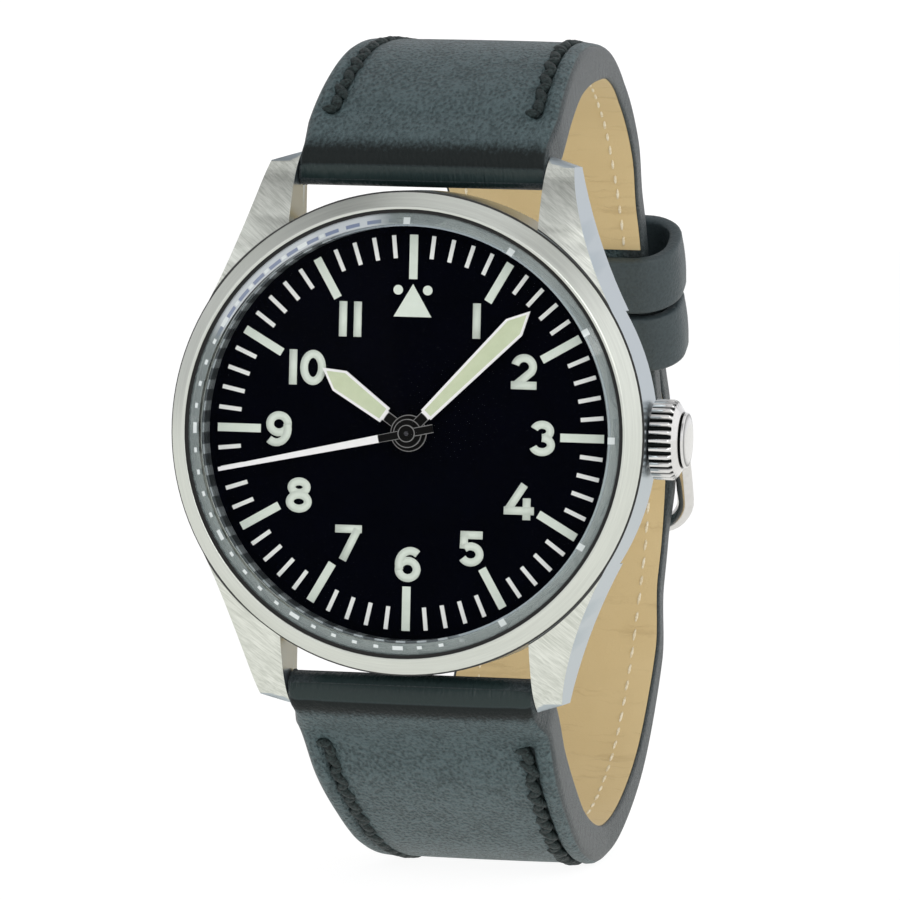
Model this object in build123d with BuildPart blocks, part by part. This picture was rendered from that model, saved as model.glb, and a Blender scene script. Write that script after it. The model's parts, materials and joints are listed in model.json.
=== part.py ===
from build123d import *
import os
from math import atan2, cos, radians, sin

# Pilot watch with a leather strap, buckled. +X points to 3 o'clock, +Z to 12 o'clock and -Y to the eye.
# The origin is the centre of the case back's outer face; heights are counted from there along -Y.
os.makedirs("parts", exist_ok=True)

# Fits
turn_gap = 0.05
fit_gap = 0.1
leather_gap = 0.3
overrun = 1.0

# Case and lugs
case_radius = 21.0
case_wall = 2.3
case_bore_radius = case_radius - case_wall
case_foot_step = 1.0
case_foot_radius = case_radius - case_foot_step
case_foot_rise = 1.3
strap_width = 22.0
lug_gap = strap_width + fit_gap
bar_distance = 2.0
bar_reach = case_radius + bar_distance
lug_tip_cover = 1.1
lug_reach = bar_reach + lug_tip_cover
lug_tip_width = 2.45
lug_tip_slant = 0.8
lug_tip_thickness = 2.0
lug_flare = 0.45
lug_root_angle = 31.5
lug_knee_length = 3.1
lug_knee = lug_reach - lug_knee_length
lug_slope_length = 8.0
lug_shoulder = lug_knee - lug_slope_length
lug_knee_drop = 1.95

# Case back, sealing rings and rotor
back_plate_thickness = 0.9
back_flange_thickness = 1.3
back_flange_step = 1.2
back_flange_radius = case_radius - back_flange_step
back_spigot_wall = 0.65
back_notch_count = 6
back_notch_width = 2.6
back_notch_depth = 0.6
back_notch_length = 1.3
back_gasket_inset = 1.75
back_gasket_radius = case_radius - back_gasket_inset
back_gasket_width = 0.34
back_gasket_thickness = 0.45
rotor_float = 0.2
rotor_thickness = 0.75
rotor_radius = 12.4
rotor_rim_width = 2.6
rotor_web_thickness = 0.35
rotor_hub_radius = 2.2
rotor_bearing_radius = 1.2

# Movement: levels from the back towards the dial
movement_radius = 12.8
bridge_gap = 0.15
bridge_thickness = 0.7
train_space = 1.9
plate_thickness = 1.2
motion_space = 0.8
bridge_split = 0.6
bridge_seam = 0.2
foot_width = 0.9
ring_slack = 0.1
ring_height = 3.6

# Movement: wheels and arbors
wheel_thickness = 0.13
wheel_step = 0.28
tooth_height = 0.16
arbor_radius = 0.15
pivot_length = 0.35
centre_wheel_radius = 3.3
barrel_radius = 5.3
barrel_height = 1.4
barrel_rim_thickness = 0.3
barrel_rim_step = 0.3
fourth_wheel_radius = 3.4
escape_wheel_radius = 2.1
balance_radius = 4.1
balance_rim_width = 0.5
balance_rim_thickness = 0.35
balance_distance = 8.2
cannon_pitch_radius = 0.9
balance_cock_width = 2.4
hub_radius = 0.6
barrel_angle = 120
third_angle = -45
escape_angle = -135
balance_angle = -120
minute_wheel_angle = 60
centre_wheel_teeth = 64
centre_pinion_teeth = 12
third_wheel_teeth = 60
small_pinion_teeth = 8
fourth_wheel_teeth = 80
barrel_teeth = 72
escape_teeth = 15
cannon_teeth = 12
minute_wheel_teeth = 36
minute_pinion_teeth = 10
hour_wheel_teeth = 40

# Tubes that carry the hands
seconds_arbor_radius = 0.2
centre_tube_radius = 0.45
cannon_radius = 0.75
hour_tube_radius = 1.1

# Dial and its raised marks
dial_inset = 2.4
dial_radius = case_radius - dial_inset
dial_thickness = 0.4
dial_hole_radius = 1.3
mark_height = 0.08
track_inset = 1.43
track_outer_radius = dial_radius - track_inset
minute_mark_length = 2.0
minute_mark_width = 0.36
hour_mark_length = 3.85
hour_mark_width = 0.73
triangle_inset = 4.27
triangle_tip_radius = track_outer_radius - triangle_inset
triangle_height = 2.85
triangle_base_radius = triangle_tip_radius - triangle_height
triangle_width = 3.36
dot_radius = 0.42
dot_spread = 1.31
dot_inset = 0.53
dot_distance = triangle_tip_radius - dot_inset

# Hands, at about 10:09
hour_angle = -55
minute_angle = 44.4
second_angle = -102.2
hand_lift = 0.45
hand_thickness = 0.18
hand_gap = 0.27
hand_border = 0.22
hour_hand_length = 9.5
hour_hand_point = 1.9
hour_hand_width = 2.1
hour_hand_base_width = 1.5
hour_hand_base = 2.6
minute_hand_inset = 1.97
minute_hand_length = track_outer_radius - minute_hand_inset
minute_hand_point = 2.0
minute_hand_width = 2.0
minute_hand_base_width = 1.2
minute_hand_base = 2.3
shank_width = 0.9
hour_hub_radius = 1.6
minute_hub_radius = 1.25
second_hub_radius = 0.75
second_hand_inset = 0.07
second_hand_length = track_outer_radius - second_hand_inset
second_hand_tail = 2.4
second_hand_width = 0.74
second_hand_tip_width = 0.35
second_hand_thickness = 0.12

# Crystal, bezel and the polished ring between dial and crystal
crystal_gap = 0.48
crystal_inset = 1.9
crystal_radius = case_radius - crystal_inset
crystal_thickness = 1.1
crystal_bevel_width = 0.97
crystal_bevel_drop = 0.35
crystal_proud = 0.05
gasket_width = 0.3
gasket_short = 0.15
bezel_step = 0.14
bezel_radius = case_radius - bezel_step
bezel_flange = 0.6
bezel_width = 2.85
bezel_seat_radius = case_radius - bezel_width
bezel_lip = 0.25
bezel_rim = 0.12
bezel_undercut = 0.3
bezel_undercut_height = 0.15
rehaut_inset = 3.07
rehaut_radius = case_radius - rehaut_inset
rehaut_wall = 0.17

# Crown, tube and stem
stem_radius = 0.5
stem_end = 7.4
pinion_start = 9.2
pinion_length = 2.4
pinion_radius = 1.1
tube_radius = 1.5
tube_bore_radius = 1.05
tube_reach = 1.5
crown_radius = 3.5
crown_gap = 0.2
crown_flute_length = 2.0
crown_cone_length = 0.55
crown_cone_radius = 2.55
crown_neck_radius = 2.2
crown_neck_length = 0.1
crown_cap_radius = 2.4
crown_cap_length = 0.25
crown_flutes = 28
crown_flute_depth = 0.3
crown_wall = 0.7
crown_gasket_wall = 0.4
crown_gasket_length = 0.7

# Spring bars
bar_radius = 0.9
bar_tip_radius = 0.4
bar_tip_length = 0.9

# Strap: its loop round the wrist, as seen from the side
loop_depth = 62.0
loop_over_bar = 11.0
loop_under_bar = 17.0
strap_thickness = 4.2
strap_end_thickness = 2.6
strap_roll_radius = 1.75
lining_thickness = 1.0
taper_start = -3.0
taper_end = 35.0
strap_narrowing = 4.0
strap_end_width = strap_width - strap_narrowing

# Buckle closure: a straight run that slants down to the buckle's bar
buckle_inset = 2.8
buckle_depth = loop_depth - buckle_inset
buckle_drop = 1.5
closure_angle = 60
closure_length = 23.2
buckle_bar_radius = 0.75
buckle_roll_radius = 1.9
tail_gap = 0.15
tail_thickness = 2.4
tail_length = 12.9
keeper_width = 5.7
keeper_wall = 1.2
keeper_corner = 1.7
fixed_keeper_start = 6.8
free_keeper_start = 13.2
buckle_side_gap = 0.5
buckle_wire = 1.6
buckle_length = 11.6
buckle_bow_rise = 0.7
buckle_arch = 0.9
buckle_corner = 3.4
buckle_eye_radius = 1.35
tongue_width = 1.6
tongue_thickness = 1.0
tongue_ring_wall = 0.65
tongue_slot_start = 0.05
tongue_slot_end = 4.1
notch_reach = 2.1
tip_round = 5.0
tail_start = 6.5
lining_end = 20.0
fixed_keeper_slack = 0.15
free_keeper_slack = 0.35
free_keeper_room = 1.1

# Levels above the case back's outer face
rotor_low = back_plate_thickness + rotor_float
rotor_high = rotor_low + rotor_thickness
bridge_low = rotor_high + bridge_gap
bridge_high = bridge_low + bridge_thickness
plate_low = bridge_high + train_space
plate_high = plate_low + plate_thickness
dial_low = plate_high + motion_space
dial_high = dial_low + dial_thickness
hour_low = dial_high + hand_lift
hour_high = hour_low + hand_thickness
minute_low = hour_high + hand_gap
minute_high = minute_low + hand_thickness
second_low = minute_high + hand_gap
second_high = second_low + second_hand_thickness
crystal_low = second_high + crystal_gap
crystal_high = crystal_low + crystal_thickness
bezel_high = crystal_high - crystal_proud
case_low = back_flange_thickness
case_high = crystal_low - bezel_flange
stem_height = plate_low - stem_radius - fit_gap
ring_low = dial_low - ring_height

# Drawing planes: faces parallel to the dial, half sections round the watch's axis and side views
section = Plane(origin=(0, 0, 0), x_dir=(1, 0, 0), z_dir=(0, 0, -1))
side = Plane(origin=(0, 0, 0), x_dir=(0, 0, 1), z_dir=(1, 0, 0))
stem_line = Plane(origin=(0, -stem_height, 0), x_dir=(0, 0, 1), z_dir=(1, 0, 0))


def level(height):
    """A plane parallel to the dial at a height above the case back, facing the eye."""
    return Plane.XZ.offset(height)


def towards(height, clock_angle):
    """A plane like level, whose x axis points at an angle clockwise from 12 o'clock."""
    turn = radians(clock_angle)
    return Plane(origin=(0, -height, 0), x_dir=(sin(turn), 0, cos(turn)), z_dir=(0, -1, 0))


def around(distance, angle):
    """A point at a distance from the watch's axis, at an angle counted from 3 o'clock."""
    return distance * cos(radians(angle)), distance * sin(radians(angle))


def keep(piece, name):
    """Labels a finished piece and writes it to its own file."""
    piece.part.label = name
    export_step(piece.part, f"parts/{name}.step")


# Mid-case: the barrel and its four lugs, bored for the movement and the crown tube
lug_inner = lug_gap / 2
lug_outer = lug_inner + lug_tip_width
bar_height = case_low + strap_roll_radius
tip_high = case_low + lug_tip_thickness
with BuildPart() as mid_case:
    with BuildSketch(level(case_low)):
        with BuildLine():
            root = around(case_radius, lug_root_angle)
            tip = Line((lug_inner, lug_reach), (lug_outer, lug_reach - lug_tip_slant))
            flare = SagittaArc(tip @ 1, root, -lug_flare)
            Polyline(flare @ 1, (lug_inner, root[1]), tip @ 0)
        make_face()
        mirror(about=Plane.YZ)
        mirror(about=Plane.XZ)
    extrude(amount=case_high - case_low)
    with BuildSketch(side):
        with BuildLine():
            top = Line((0, case_high), (lug_shoulder, case_high))
            upper = TangentArc(top @ 1, (lug_knee, case_high - lug_knee_drop), tangent=top % 1)
            lower = TangentArc(upper @ 1, (lug_reach, tip_high), tangent=upper % 1)
            Polyline(lower @ 1, (lug_reach, case_low), (0, case_low), top @ 0)
        make_face()
        mirror(about=Plane.YZ)
    extrude(amount=case_radius, both=True, mode=Mode.INTERSECT)
    with BuildSketch(section):
        with BuildLine():
            Polyline(
                (0, case_low),
                (case_foot_radius, case_low),
                (case_radius, case_low + case_foot_rise),
                (case_radius, case_high),
                (0, case_high),
                close=True,
            )
        make_face()
    revolve(axis=Axis.Y)
    with BuildSketch(level(case_low)):
        Circle(case_bore_radius)
    extrude(amount=case_high - case_low, mode=Mode.SUBTRACT)
    with BuildSketch(level(case_low)):
        Circle(back_gasket_radius + back_gasket_width / 2 + fit_gap / 2)
        Circle(back_gasket_radius - back_gasket_width / 2 - fit_gap / 2, mode=Mode.SUBTRACT)
    extrude(amount=back_gasket_thickness, mode=Mode.SUBTRACT)
    with BuildSketch(stem_line):
        Circle(tube_radius)
    extrude(amount=case_radius + overrun, mode=Mode.SUBTRACT)
    with BuildSketch(side):
        with Locations((bar_reach, bar_height), (-bar_reach, bar_height)):
            Circle(bar_tip_radius + turn_gap)
    extrude(amount=lug_inner + bar_tip_length + fit_gap, both=True, mode=Mode.SUBTRACT)
keep(mid_case, "mid_case")

# Screwed case back with six notches for its key, and the ring that seals it
spigot_radius = case_bore_radius - turn_gap
with BuildPart() as case_back:
    with BuildSketch(section):
        with BuildLine():
            Polyline(
                (0, 0),
                (back_flange_radius - bezel_lip, 0),
                (back_flange_radius, bezel_lip),
                (back_flange_radius, back_flange_thickness),
                (spigot_radius, back_flange_thickness),
                (spigot_radius, ring_low),
                (spigot_radius - back_spigot_wall, ring_low),
                (spigot_radius - back_spigot_wall, back_plate_thickness),
                (0, back_plate_thickness),
                close=True,
            )
        make_face()
    revolve(axis=Axis.Y)
    with BuildSketch(level(0)):
        with PolarLocations(back_flange_radius, back_notch_count):
            Rectangle(2 * back_notch_length, back_notch_width)
    extrude(amount=back_notch_depth, mode=Mode.SUBTRACT)
keep(case_back, "case_back")

with BuildPart() as back_gasket:
    with BuildSketch(level(case_low)):
        Circle(back_gasket_radius + back_gasket_width / 2)
        Circle(back_gasket_radius - back_gasket_width / 2, mode=Mode.SUBTRACT)
    extrude(amount=back_gasket_thickness)
keep(back_gasket, "back_gasket")

# Bezel: a brushed cone pressed onto the mid-case, with an inner shelf that carries the crystal
gasket_radius = crystal_radius + gasket_width
with BuildPart() as bezel:
    with BuildSketch(section):
        with BuildLine():
            Polyline(
                (bezel_seat_radius, case_high),
                (bezel_radius - bezel_undercut, case_high),
                (bezel_radius - bezel_undercut, case_high + bezel_undercut_height),
                (bezel_radius, case_high + bezel_undercut_height),
                (bezel_radius, case_high + bezel_undercut_height + bezel_rim),
                (gasket_radius + bezel_lip, bezel_high),
                (gasket_radius, bezel_high),
                (gasket_radius, crystal_low),
                (bezel_seat_radius, crystal_low),
                close=True,
            )
        make_face()
    revolve(axis=Axis.Y)
keep(bezel, "bezel")

with BuildPart() as crystal:
    with BuildSketch(section):
        with BuildLine():
            Polyline(
                (0, crystal_low),
                (crystal_radius, crystal_low),
                (crystal_radius, crystal_high - crystal_bevel_drop),
                (crystal_radius - crystal_bevel_width, crystal_high),
                (0, crystal_high),
                close=True,
            )
        make_face()
    revolve(axis=Axis.Y)
keep(crystal, "crystal")

with BuildPart() as crystal_gasket:
    with BuildSketch(level(crystal_low)):
        Circle(gasket_radius)
        Circle(crystal_radius, mode=Mode.SUBTRACT)
    extrude(amount=crystal_thickness - gasket_short - crystal_proud)
keep(crystal_gasket, "crystal_gasket")

# Rehaut: the polished ring that stands on the dial and reaches up to the crystal
with BuildPart() as rehaut:
    with BuildSketch(section):
        with BuildLine():
            Polyline(
                (rehaut_radius, dial_high),
                (dial_radius, dial_high),
                (dial_radius, case_high),
                (rehaut_radius + rehaut_wall, case_high),
                (rehaut_radius + rehaut_wall, crystal_low - turn_gap),
                (rehaut_radius, crystal_low - turn_gap),
                close=True,
            )
        make_face()
    revolve(axis=Axis.Y)
keep(rehaut, "rehaut")

with BuildPart() as dial:
    with BuildSketch(level(dial_low)):
        Circle(dial_radius)
        Circle(dial_hole_radius, mode=Mode.SUBTRACT)
    extrude(amount=dial_thickness)
keep(dial, "dial")

# Raised marks: twelve luminous bars, the triangle with its two dots, and the minute track
with BuildPart() as hour_marks:
    with BuildSketch(level(dial_high)):
        with PolarLocations(track_outer_radius - hour_mark_length / 2, 12):
            Rectangle(hour_mark_length, hour_mark_width)
        Polygon(
            (0, triangle_tip_radius),
            (-triangle_width / 2, triangle_base_radius),
            (triangle_width / 2, triangle_base_radius),
            align=None,
        )
        with Locations((-dot_spread, dot_distance), (dot_spread, dot_distance)):
            Circle(dot_radius)
    extrude(amount=mark_height)
keep(hour_marks, "hour_marks")

with BuildPart() as minute_track:
    with BuildSketch(level(dial_high)):
        for minute in range(60):
            if minute % 5:
                with PolarLocations(track_outer_radius - minute_mark_length / 2, 1, start_angle=6 * minute):
                    Rectangle(minute_mark_length, minute_mark_width)
    extrude(amount=mark_height)
keep(minute_track, "minute_track")


# Hands: a hub on its tube, a narrow shank and a sword blade whose window holds the lume
def blade(base, length, point, base_width, width, border):
    """Half-widths along the hand, as the outline of its blade or of the lume inside it."""
    shoulder = length - point
    return [
        (base + border, -base_width / 2 + border),
        (shoulder, -width / 2 + border),
        (length - border * 2, 0),
        (shoulder, width / 2 - border),
        (base + border, base_width / 2 - border),
    ]


def make_hand(name, plane, tube_hole, hub, sizes):
    """Writes a hand and its lume, drawn along the plane's x axis."""
    with BuildPart() as hand:
        with BuildSketch(plane):
            Circle(hub)
            with Locations((sizes[0] / 2, 0)):
                Rectangle(sizes[0] + 2 * hand_border, shank_width)
            Polygon(*blade(*sizes, 0), align=None)
            Polygon(*blade(*sizes, hand_border), align=None, mode=Mode.SUBTRACT)
            Circle(tube_hole, mode=Mode.SUBTRACT)
        extrude(amount=hand_thickness)
    keep(hand, name)
    with BuildPart() as lume:
        with BuildSketch(plane):
            Polygon(*blade(*sizes, hand_border), align=None)
        extrude(amount=hand_thickness)
    keep(lume, f"{name}_lume")


hour_sizes = (hour_hand_base, hour_hand_length, hour_hand_point, hour_hand_base_width, hour_hand_width)
minute_sizes = (
    minute_hand_base,
    minute_hand_length,
    minute_hand_point,
    minute_hand_base_width,
    minute_hand_width,
)
make_hand("hour_hand", towards(hour_low, hour_angle), hour_tube_radius, hour_hub_radius, hour_sizes)
make_hand("minute_hand", towards(minute_low, minute_angle), cannon_radius, minute_hub_radius, minute_sizes)

with BuildPart() as second_hand:
    with BuildSketch(towards(second_low, second_angle)):
        Circle(second_hub_radius)
        Polygon(
            (-second_hand_tail, -second_hand_width / 2),
            (0, -second_hand_width / 2),
            (second_hand_length, -second_hand_tip_width / 2),
            (second_hand_length, second_hand_tip_width / 2),
            (0, second_hand_width / 2),
            (-second_hand_tail, second_hand_width / 2),
            align=None,
        )
        Circle(seconds_arbor_radius, mode=Mode.SUBTRACT)
    extrude(amount=second_hand_thickness)
keep(second_hand, "second_hand")


# Movement: toothed wheels, all meshed at rest
def gear_points(teeth, pitch_radius, mesh_angle, gap=False):
    """Outline of a wheel with a tooth, or a gap, at mesh_angle."""
    tip = pitch_radius + tooth_height / 2
    root = pitch_radius - tooth_height / 2
    shift = 0.5 if gap else 0
    points = []
    for tooth in range(teeth):
        points.append(around(root, mesh_angle + (tooth + shift - 0.5) * 360 / teeth))
        points.append(around(tip, mesh_angle + (tooth + shift) * 360 / teeth))
    return points


centre_pinion_radius = barrel_radius * centre_pinion_teeth / barrel_teeth
barrel_distance = barrel_radius + centre_pinion_radius
third_pinion_radius = centre_wheel_radius * small_pinion_teeth / centre_wheel_teeth
third_distance = centre_wheel_radius + third_pinion_radius
third_wheel_radius = third_distance * third_wheel_teeth / (third_wheel_teeth + small_pinion_teeth)
fourth_pinion_radius = third_distance - third_wheel_radius
escape_pinion_radius = fourth_wheel_radius * small_pinion_teeth / fourth_wheel_teeth
escape_distance = fourth_wheel_radius + escape_pinion_radius
minute_wheel_radius = cannon_pitch_radius * minute_wheel_teeth / cannon_teeth
minute_wheel_distance = cannon_pitch_radius + minute_wheel_radius
hour_wheel_radius = minute_wheel_distance * hour_wheel_teeth / (hour_wheel_teeth + minute_pinion_teeth)
minute_pinion_radius = minute_wheel_distance - hour_wheel_radius
fourth_low = bridge_high + turn_gap
third_low = fourth_low + wheel_step
centre_low = third_low + wheel_step
barrel_low = centre_low + wheel_step
escape_low = barrel_low
motion_low = plate_high + fit_gap
hour_wheel_low = motion_low + wheel_thickness + wheel_step
third_place = around(third_distance, third_angle)
escape_place = around(escape_distance, escape_angle)
barrel_place = around(barrel_distance, barrel_angle)
balance_place = around(balance_distance, balance_angle)
minute_wheel_place = around(minute_wheel_distance, minute_wheel_angle)
motion_mesh = minute_wheel_angle + 180
arbor_low = bridge_high - pivot_length
arbor_high = plate_low + pivot_length

with BuildPart() as centre_wheel:
    with BuildSketch(level(centre_low)):
        Polygon(*gear_points(centre_wheel_teeth, centre_wheel_radius, third_angle), align=None)
    extrude(amount=wheel_thickness)
    with BuildSketch(level(centre_low + wheel_thickness)):
        Polygon(*gear_points(centre_pinion_teeth, centre_pinion_radius, barrel_angle, True), align=None)
    extrude(amount=plate_low - centre_low - 2 * wheel_thickness)
    with BuildSketch(level(centre_low)):
        Circle(centre_tube_radius)
    extrude(amount=minute_low - centre_low)
    with BuildSketch(level(centre_low)):
        Circle(seconds_arbor_radius + turn_gap)
    extrude(amount=minute_low - centre_low, mode=Mode.SUBTRACT)
keep(centre_wheel, "centre_wheel")

with BuildPart() as cannon_pinion:
    with BuildSketch(level(motion_low)):
        Polygon(*gear_points(cannon_teeth, cannon_pitch_radius, minute_wheel_angle, True), align=None)
    extrude(amount=wheel_thickness + turn_gap)
    with BuildSketch(level(motion_low)):
        Circle(cannon_radius)
    extrude(amount=minute_high - motion_low)
    with BuildSketch(level(motion_low)):
        Circle(centre_tube_radius)
    extrude(amount=minute_low - motion_low, mode=Mode.SUBTRACT)
    with BuildSketch(level(minute_low)):
        Circle(seconds_arbor_radius + turn_gap)
    extrude(amount=hand_thickness, mode=Mode.SUBTRACT)
keep(cannon_pinion, "cannon_pinion")

with BuildPart() as hour_wheel:
    with BuildSketch(level(hour_wheel_low)):
        Polygon(*gear_points(hour_wheel_teeth, hour_wheel_radius, minute_wheel_angle), align=None)
    extrude(amount=wheel_thickness)
    with BuildSketch(level(hour_wheel_low)):
        Circle(hour_tube_radius)
    extrude(amount=hour_high - hour_wheel_low)
    with BuildSketch(level(hour_wheel_low)):
        Circle(cannon_radius + turn_gap)
    extrude(amount=hour_high - hour_wheel_low, mode=Mode.SUBTRACT)
keep(hour_wheel, "hour_wheel")

with BuildPart() as minute_wheel:
    with BuildSketch(level(motion_low)):
        with Locations(minute_wheel_place):
            Polygon(*gear_points(minute_wheel_teeth, minute_wheel_radius, motion_mesh), align=None)
    extrude(amount=wheel_thickness)
    with BuildSketch(level(motion_low)):
        with Locations(minute_wheel_place):
            Polygon(*gear_points(minute_pinion_teeth, minute_pinion_radius, motion_mesh, True), align=None)
    extrude(amount=hour_wheel_low + wheel_thickness - motion_low)
    with BuildSketch(level(motion_low)):
        with Locations(minute_wheel_place):
            Circle(arbor_radius + turn_gap)
    extrude(amount=motion_space, mode=Mode.SUBTRACT)
keep(minute_wheel, "minute_wheel")


third_mesh = third_angle + 180
with BuildPart() as third_wheel:
    with BuildSketch(level(third_low)):
        with Locations(third_place):
            Polygon(*gear_points(third_wheel_teeth, third_wheel_radius, third_mesh), align=None)
    extrude(amount=wheel_thickness)
    with BuildSketch(level(third_low + wheel_thickness)):
        with Locations(third_place):
            Polygon(*gear_points(small_pinion_teeth, third_pinion_radius, third_mesh, True), align=None)
    extrude(amount=centre_low + turn_gap - third_low)
    with BuildSketch(level(arbor_low)):
        with Locations(third_place):
            Circle(arbor_radius)
    extrude(amount=arbor_high - arbor_low)
keep(third_wheel, "third_wheel")

with BuildPart() as escape_wheel:
    with BuildSketch(level(escape_low)):
        with Locations(escape_place):
            escape_points, pitch = [], 360 / escape_teeth
            for tooth in range(escape_teeth):
                escape_points.append(around(escape_wheel_radius - 3 * tooth_height, tooth * pitch))
                escape_points.append(around(escape_wheel_radius, (tooth + 0.5) * pitch))
            Polygon(*escape_points, align=None)
    extrude(amount=wheel_thickness)
    with BuildSketch(level(fourth_low - turn_gap)):
        with Locations(escape_place):
            pinion_points = gear_points(small_pinion_teeth, escape_pinion_radius, escape_angle + 180, True)
            Polygon(*pinion_points, align=None)
    extrude(amount=escape_low - fourth_low + turn_gap)
    with BuildSketch(level(arbor_low)):
        with Locations(escape_place):
            Circle(arbor_radius)
    extrude(amount=arbor_high - arbor_low)
keep(escape_wheel, "escape_wheel")

with BuildPart() as fourth_wheel:
    with BuildSketch(level(fourth_low)):
        Polygon(*gear_points(fourth_wheel_teeth, fourth_wheel_radius, escape_angle), align=None)
    extrude(amount=wheel_thickness)
    with BuildSketch(level(fourth_low + wheel_thickness)):
        Polygon(*gear_points(small_pinion_teeth, fourth_pinion_radius, third_angle, True), align=None)
    extrude(amount=wheel_step)
    with BuildSketch(level(arbor_low)):
        Circle(seconds_arbor_radius)
    extrude(amount=second_high - arbor_low)
keep(fourth_wheel, "fourth_wheel")

with BuildPart() as mainspring_barrel:
    with BuildSketch(level(barrel_low)):
        with Locations(barrel_place):
            Circle(barrel_radius - barrel_rim_step)
    extrude(amount=barrel_height)
    with BuildSketch(level(barrel_low)):
        with Locations(barrel_place):
            Polygon(*gear_points(barrel_teeth, barrel_radius, barrel_angle + 180), align=None)
    extrude(amount=barrel_rim_thickness)
    with BuildSketch(level(arbor_low)):
        with Locations(barrel_place):
            Circle(hub_radius)
    extrude(amount=barrel_low + barrel_height - arbor_low)
keep(mainspring_barrel, "mainspring_barrel")

with BuildPart() as balance_wheel:
    with BuildSketch(level(third_low)):
        with Locations(balance_place):
            Circle(balance_radius)
            Circle(balance_radius - balance_rim_width, mode=Mode.SUBTRACT)
            Rectangle(2 * balance_radius - balance_rim_width, balance_rim_width)
            Rectangle(balance_rim_width, 2 * balance_radius - balance_rim_width)
            Circle(hub_radius)
    extrude(amount=balance_rim_thickness)
    with BuildSketch(level(arbor_low)):
        with Locations(balance_place):
            Circle(arbor_radius)
    extrude(amount=arbor_high - arbor_low)
keep(balance_wheel, "balance_wheel")

# Main plate with the barrel's recess, the window of the winding pinion and the pivot holes
pivot_hole = arbor_radius + turn_gap
with BuildPart() as main_plate:
    with BuildSketch(level(plate_low)):
        Circle(movement_radius)
        Circle(centre_tube_radius + turn_gap, mode=Mode.SUBTRACT)
        with Locations((pinion_start + pinion_length / 2, 0)):
            Rectangle(pinion_length + 2 * fit_gap, 2 * pinion_radius + 2 * fit_gap, mode=Mode.SUBTRACT)
        with Locations(third_place, escape_place, balance_place):
            Circle(pivot_hole, mode=Mode.SUBTRACT)
    extrude(amount=plate_thickness)
    with BuildSketch(level(plate_low)):
        with Locations(barrel_place):
            Circle(barrel_radius)
    extrude(amount=barrel_low + barrel_height + fit_gap - plate_low, mode=Mode.SUBTRACT)
    with BuildSketch(level(plate_high)):
        with Locations(minute_wheel_place):
            Circle(arbor_radius)
    extrude(amount=motion_space - fit_gap)
keep(main_plate, "main_plate")

# Bridges: the barrel bridge above, the train bridge below and the balance cock, each on its own foot
bridge_radius = movement_radius - fit_gap
balance_clear = balance_radius + leather_gap
with BuildPart() as barrel_bridge:
    with BuildSketch(level(bridge_low)):
        Circle(bridge_radius)
        with Locations((0, -bridge_radius + bridge_split)):
            Rectangle(2 * bridge_radius, 2 * bridge_radius, mode=Mode.SUBTRACT)
        with Locations(barrel_place):
            Circle(hub_radius + turn_gap, mode=Mode.SUBTRACT)
    extrude(amount=bridge_thickness)
    with BuildSketch(level(bridge_high)):
        Circle(bridge_radius)
        Circle(bridge_radius - foot_width, mode=Mode.SUBTRACT)
        with Locations((0, -bridge_radius + 2 * pinion_radius)):
            Rectangle(2 * bridge_radius, 2 * bridge_radius, mode=Mode.SUBTRACT)
    extrude(amount=train_space)
keep(barrel_bridge, "barrel_bridge")

with BuildPart() as train_bridge:
    with BuildSketch(level(bridge_low)):
        Circle(bridge_radius)
        with Locations((0, bridge_radius + bridge_split - bridge_seam)):
            Rectangle(2 * bridge_radius, 2 * bridge_radius, mode=Mode.SUBTRACT)
        with Locations(balance_place):
            Circle(balance_clear + bridge_seam, mode=Mode.SUBTRACT)
        with Locations((-bridge_radius, balance_place[1])):
            Rectangle(2 * bridge_radius + 2 * balance_place[0], 2 * balance_clear, mode=Mode.SUBTRACT)
        with Locations(third_place, escape_place):
            Circle(pivot_hole, mode=Mode.SUBTRACT)
        Circle(seconds_arbor_radius + turn_gap, mode=Mode.SUBTRACT)
    extrude(amount=bridge_thickness)
    with BuildSketch(level(bridge_high)):
        Circle(bridge_radius)
        Circle(bridge_radius - foot_width, mode=Mode.SUBTRACT)
        with Locations((-bridge_radius, 0)):
            Rectangle(2 * bridge_radius, 2 * bridge_radius, mode=Mode.SUBTRACT)
        with Locations((0, bridge_radius - 2 * pinion_radius)):
            Rectangle(2 * bridge_radius, 2 * bridge_radius, mode=Mode.SUBTRACT)
    extrude(amount=train_space)
keep(train_bridge, "train_bridge")

with BuildPart() as balance_cock:
    with BuildSketch(level(bridge_low)):
        with Locations((-bridge_radius / 2 + balance_place[0] / 2, balance_place[1])):
            Rectangle(bridge_radius + balance_place[0], balance_cock_width)
        with Locations(balance_place):
            Circle(balance_cock_width / 2)
        Circle(bridge_radius, mode=Mode.INTERSECT)
        with Locations(balance_place):
            Circle(pivot_hole, mode=Mode.SUBTRACT)
    extrude(amount=bridge_thickness)
    with BuildSketch(level(bridge_high)):
        with Locations((-bridge_radius / 2 + balance_place[0] / 2, balance_place[1])):
            Rectangle(bridge_radius + balance_place[0], balance_cock_width)
        with Locations(balance_place):
            Circle(balance_clear, mode=Mode.SUBTRACT)
        Circle(bridge_radius, mode=Mode.INTERSECT)
    extrude(amount=train_space)
keep(balance_cock, "balance_cock")

# Winding rotor: a thin half disc with a heavy rim, turning on its bearing over the bridges
with BuildPart() as rotor_bearing:
    with BuildSketch(level(rotor_low)):
        Circle(rotor_bearing_radius)
    extrude(amount=bridge_low - rotor_low)
keep(rotor_bearing, "rotor_bearing")

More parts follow.
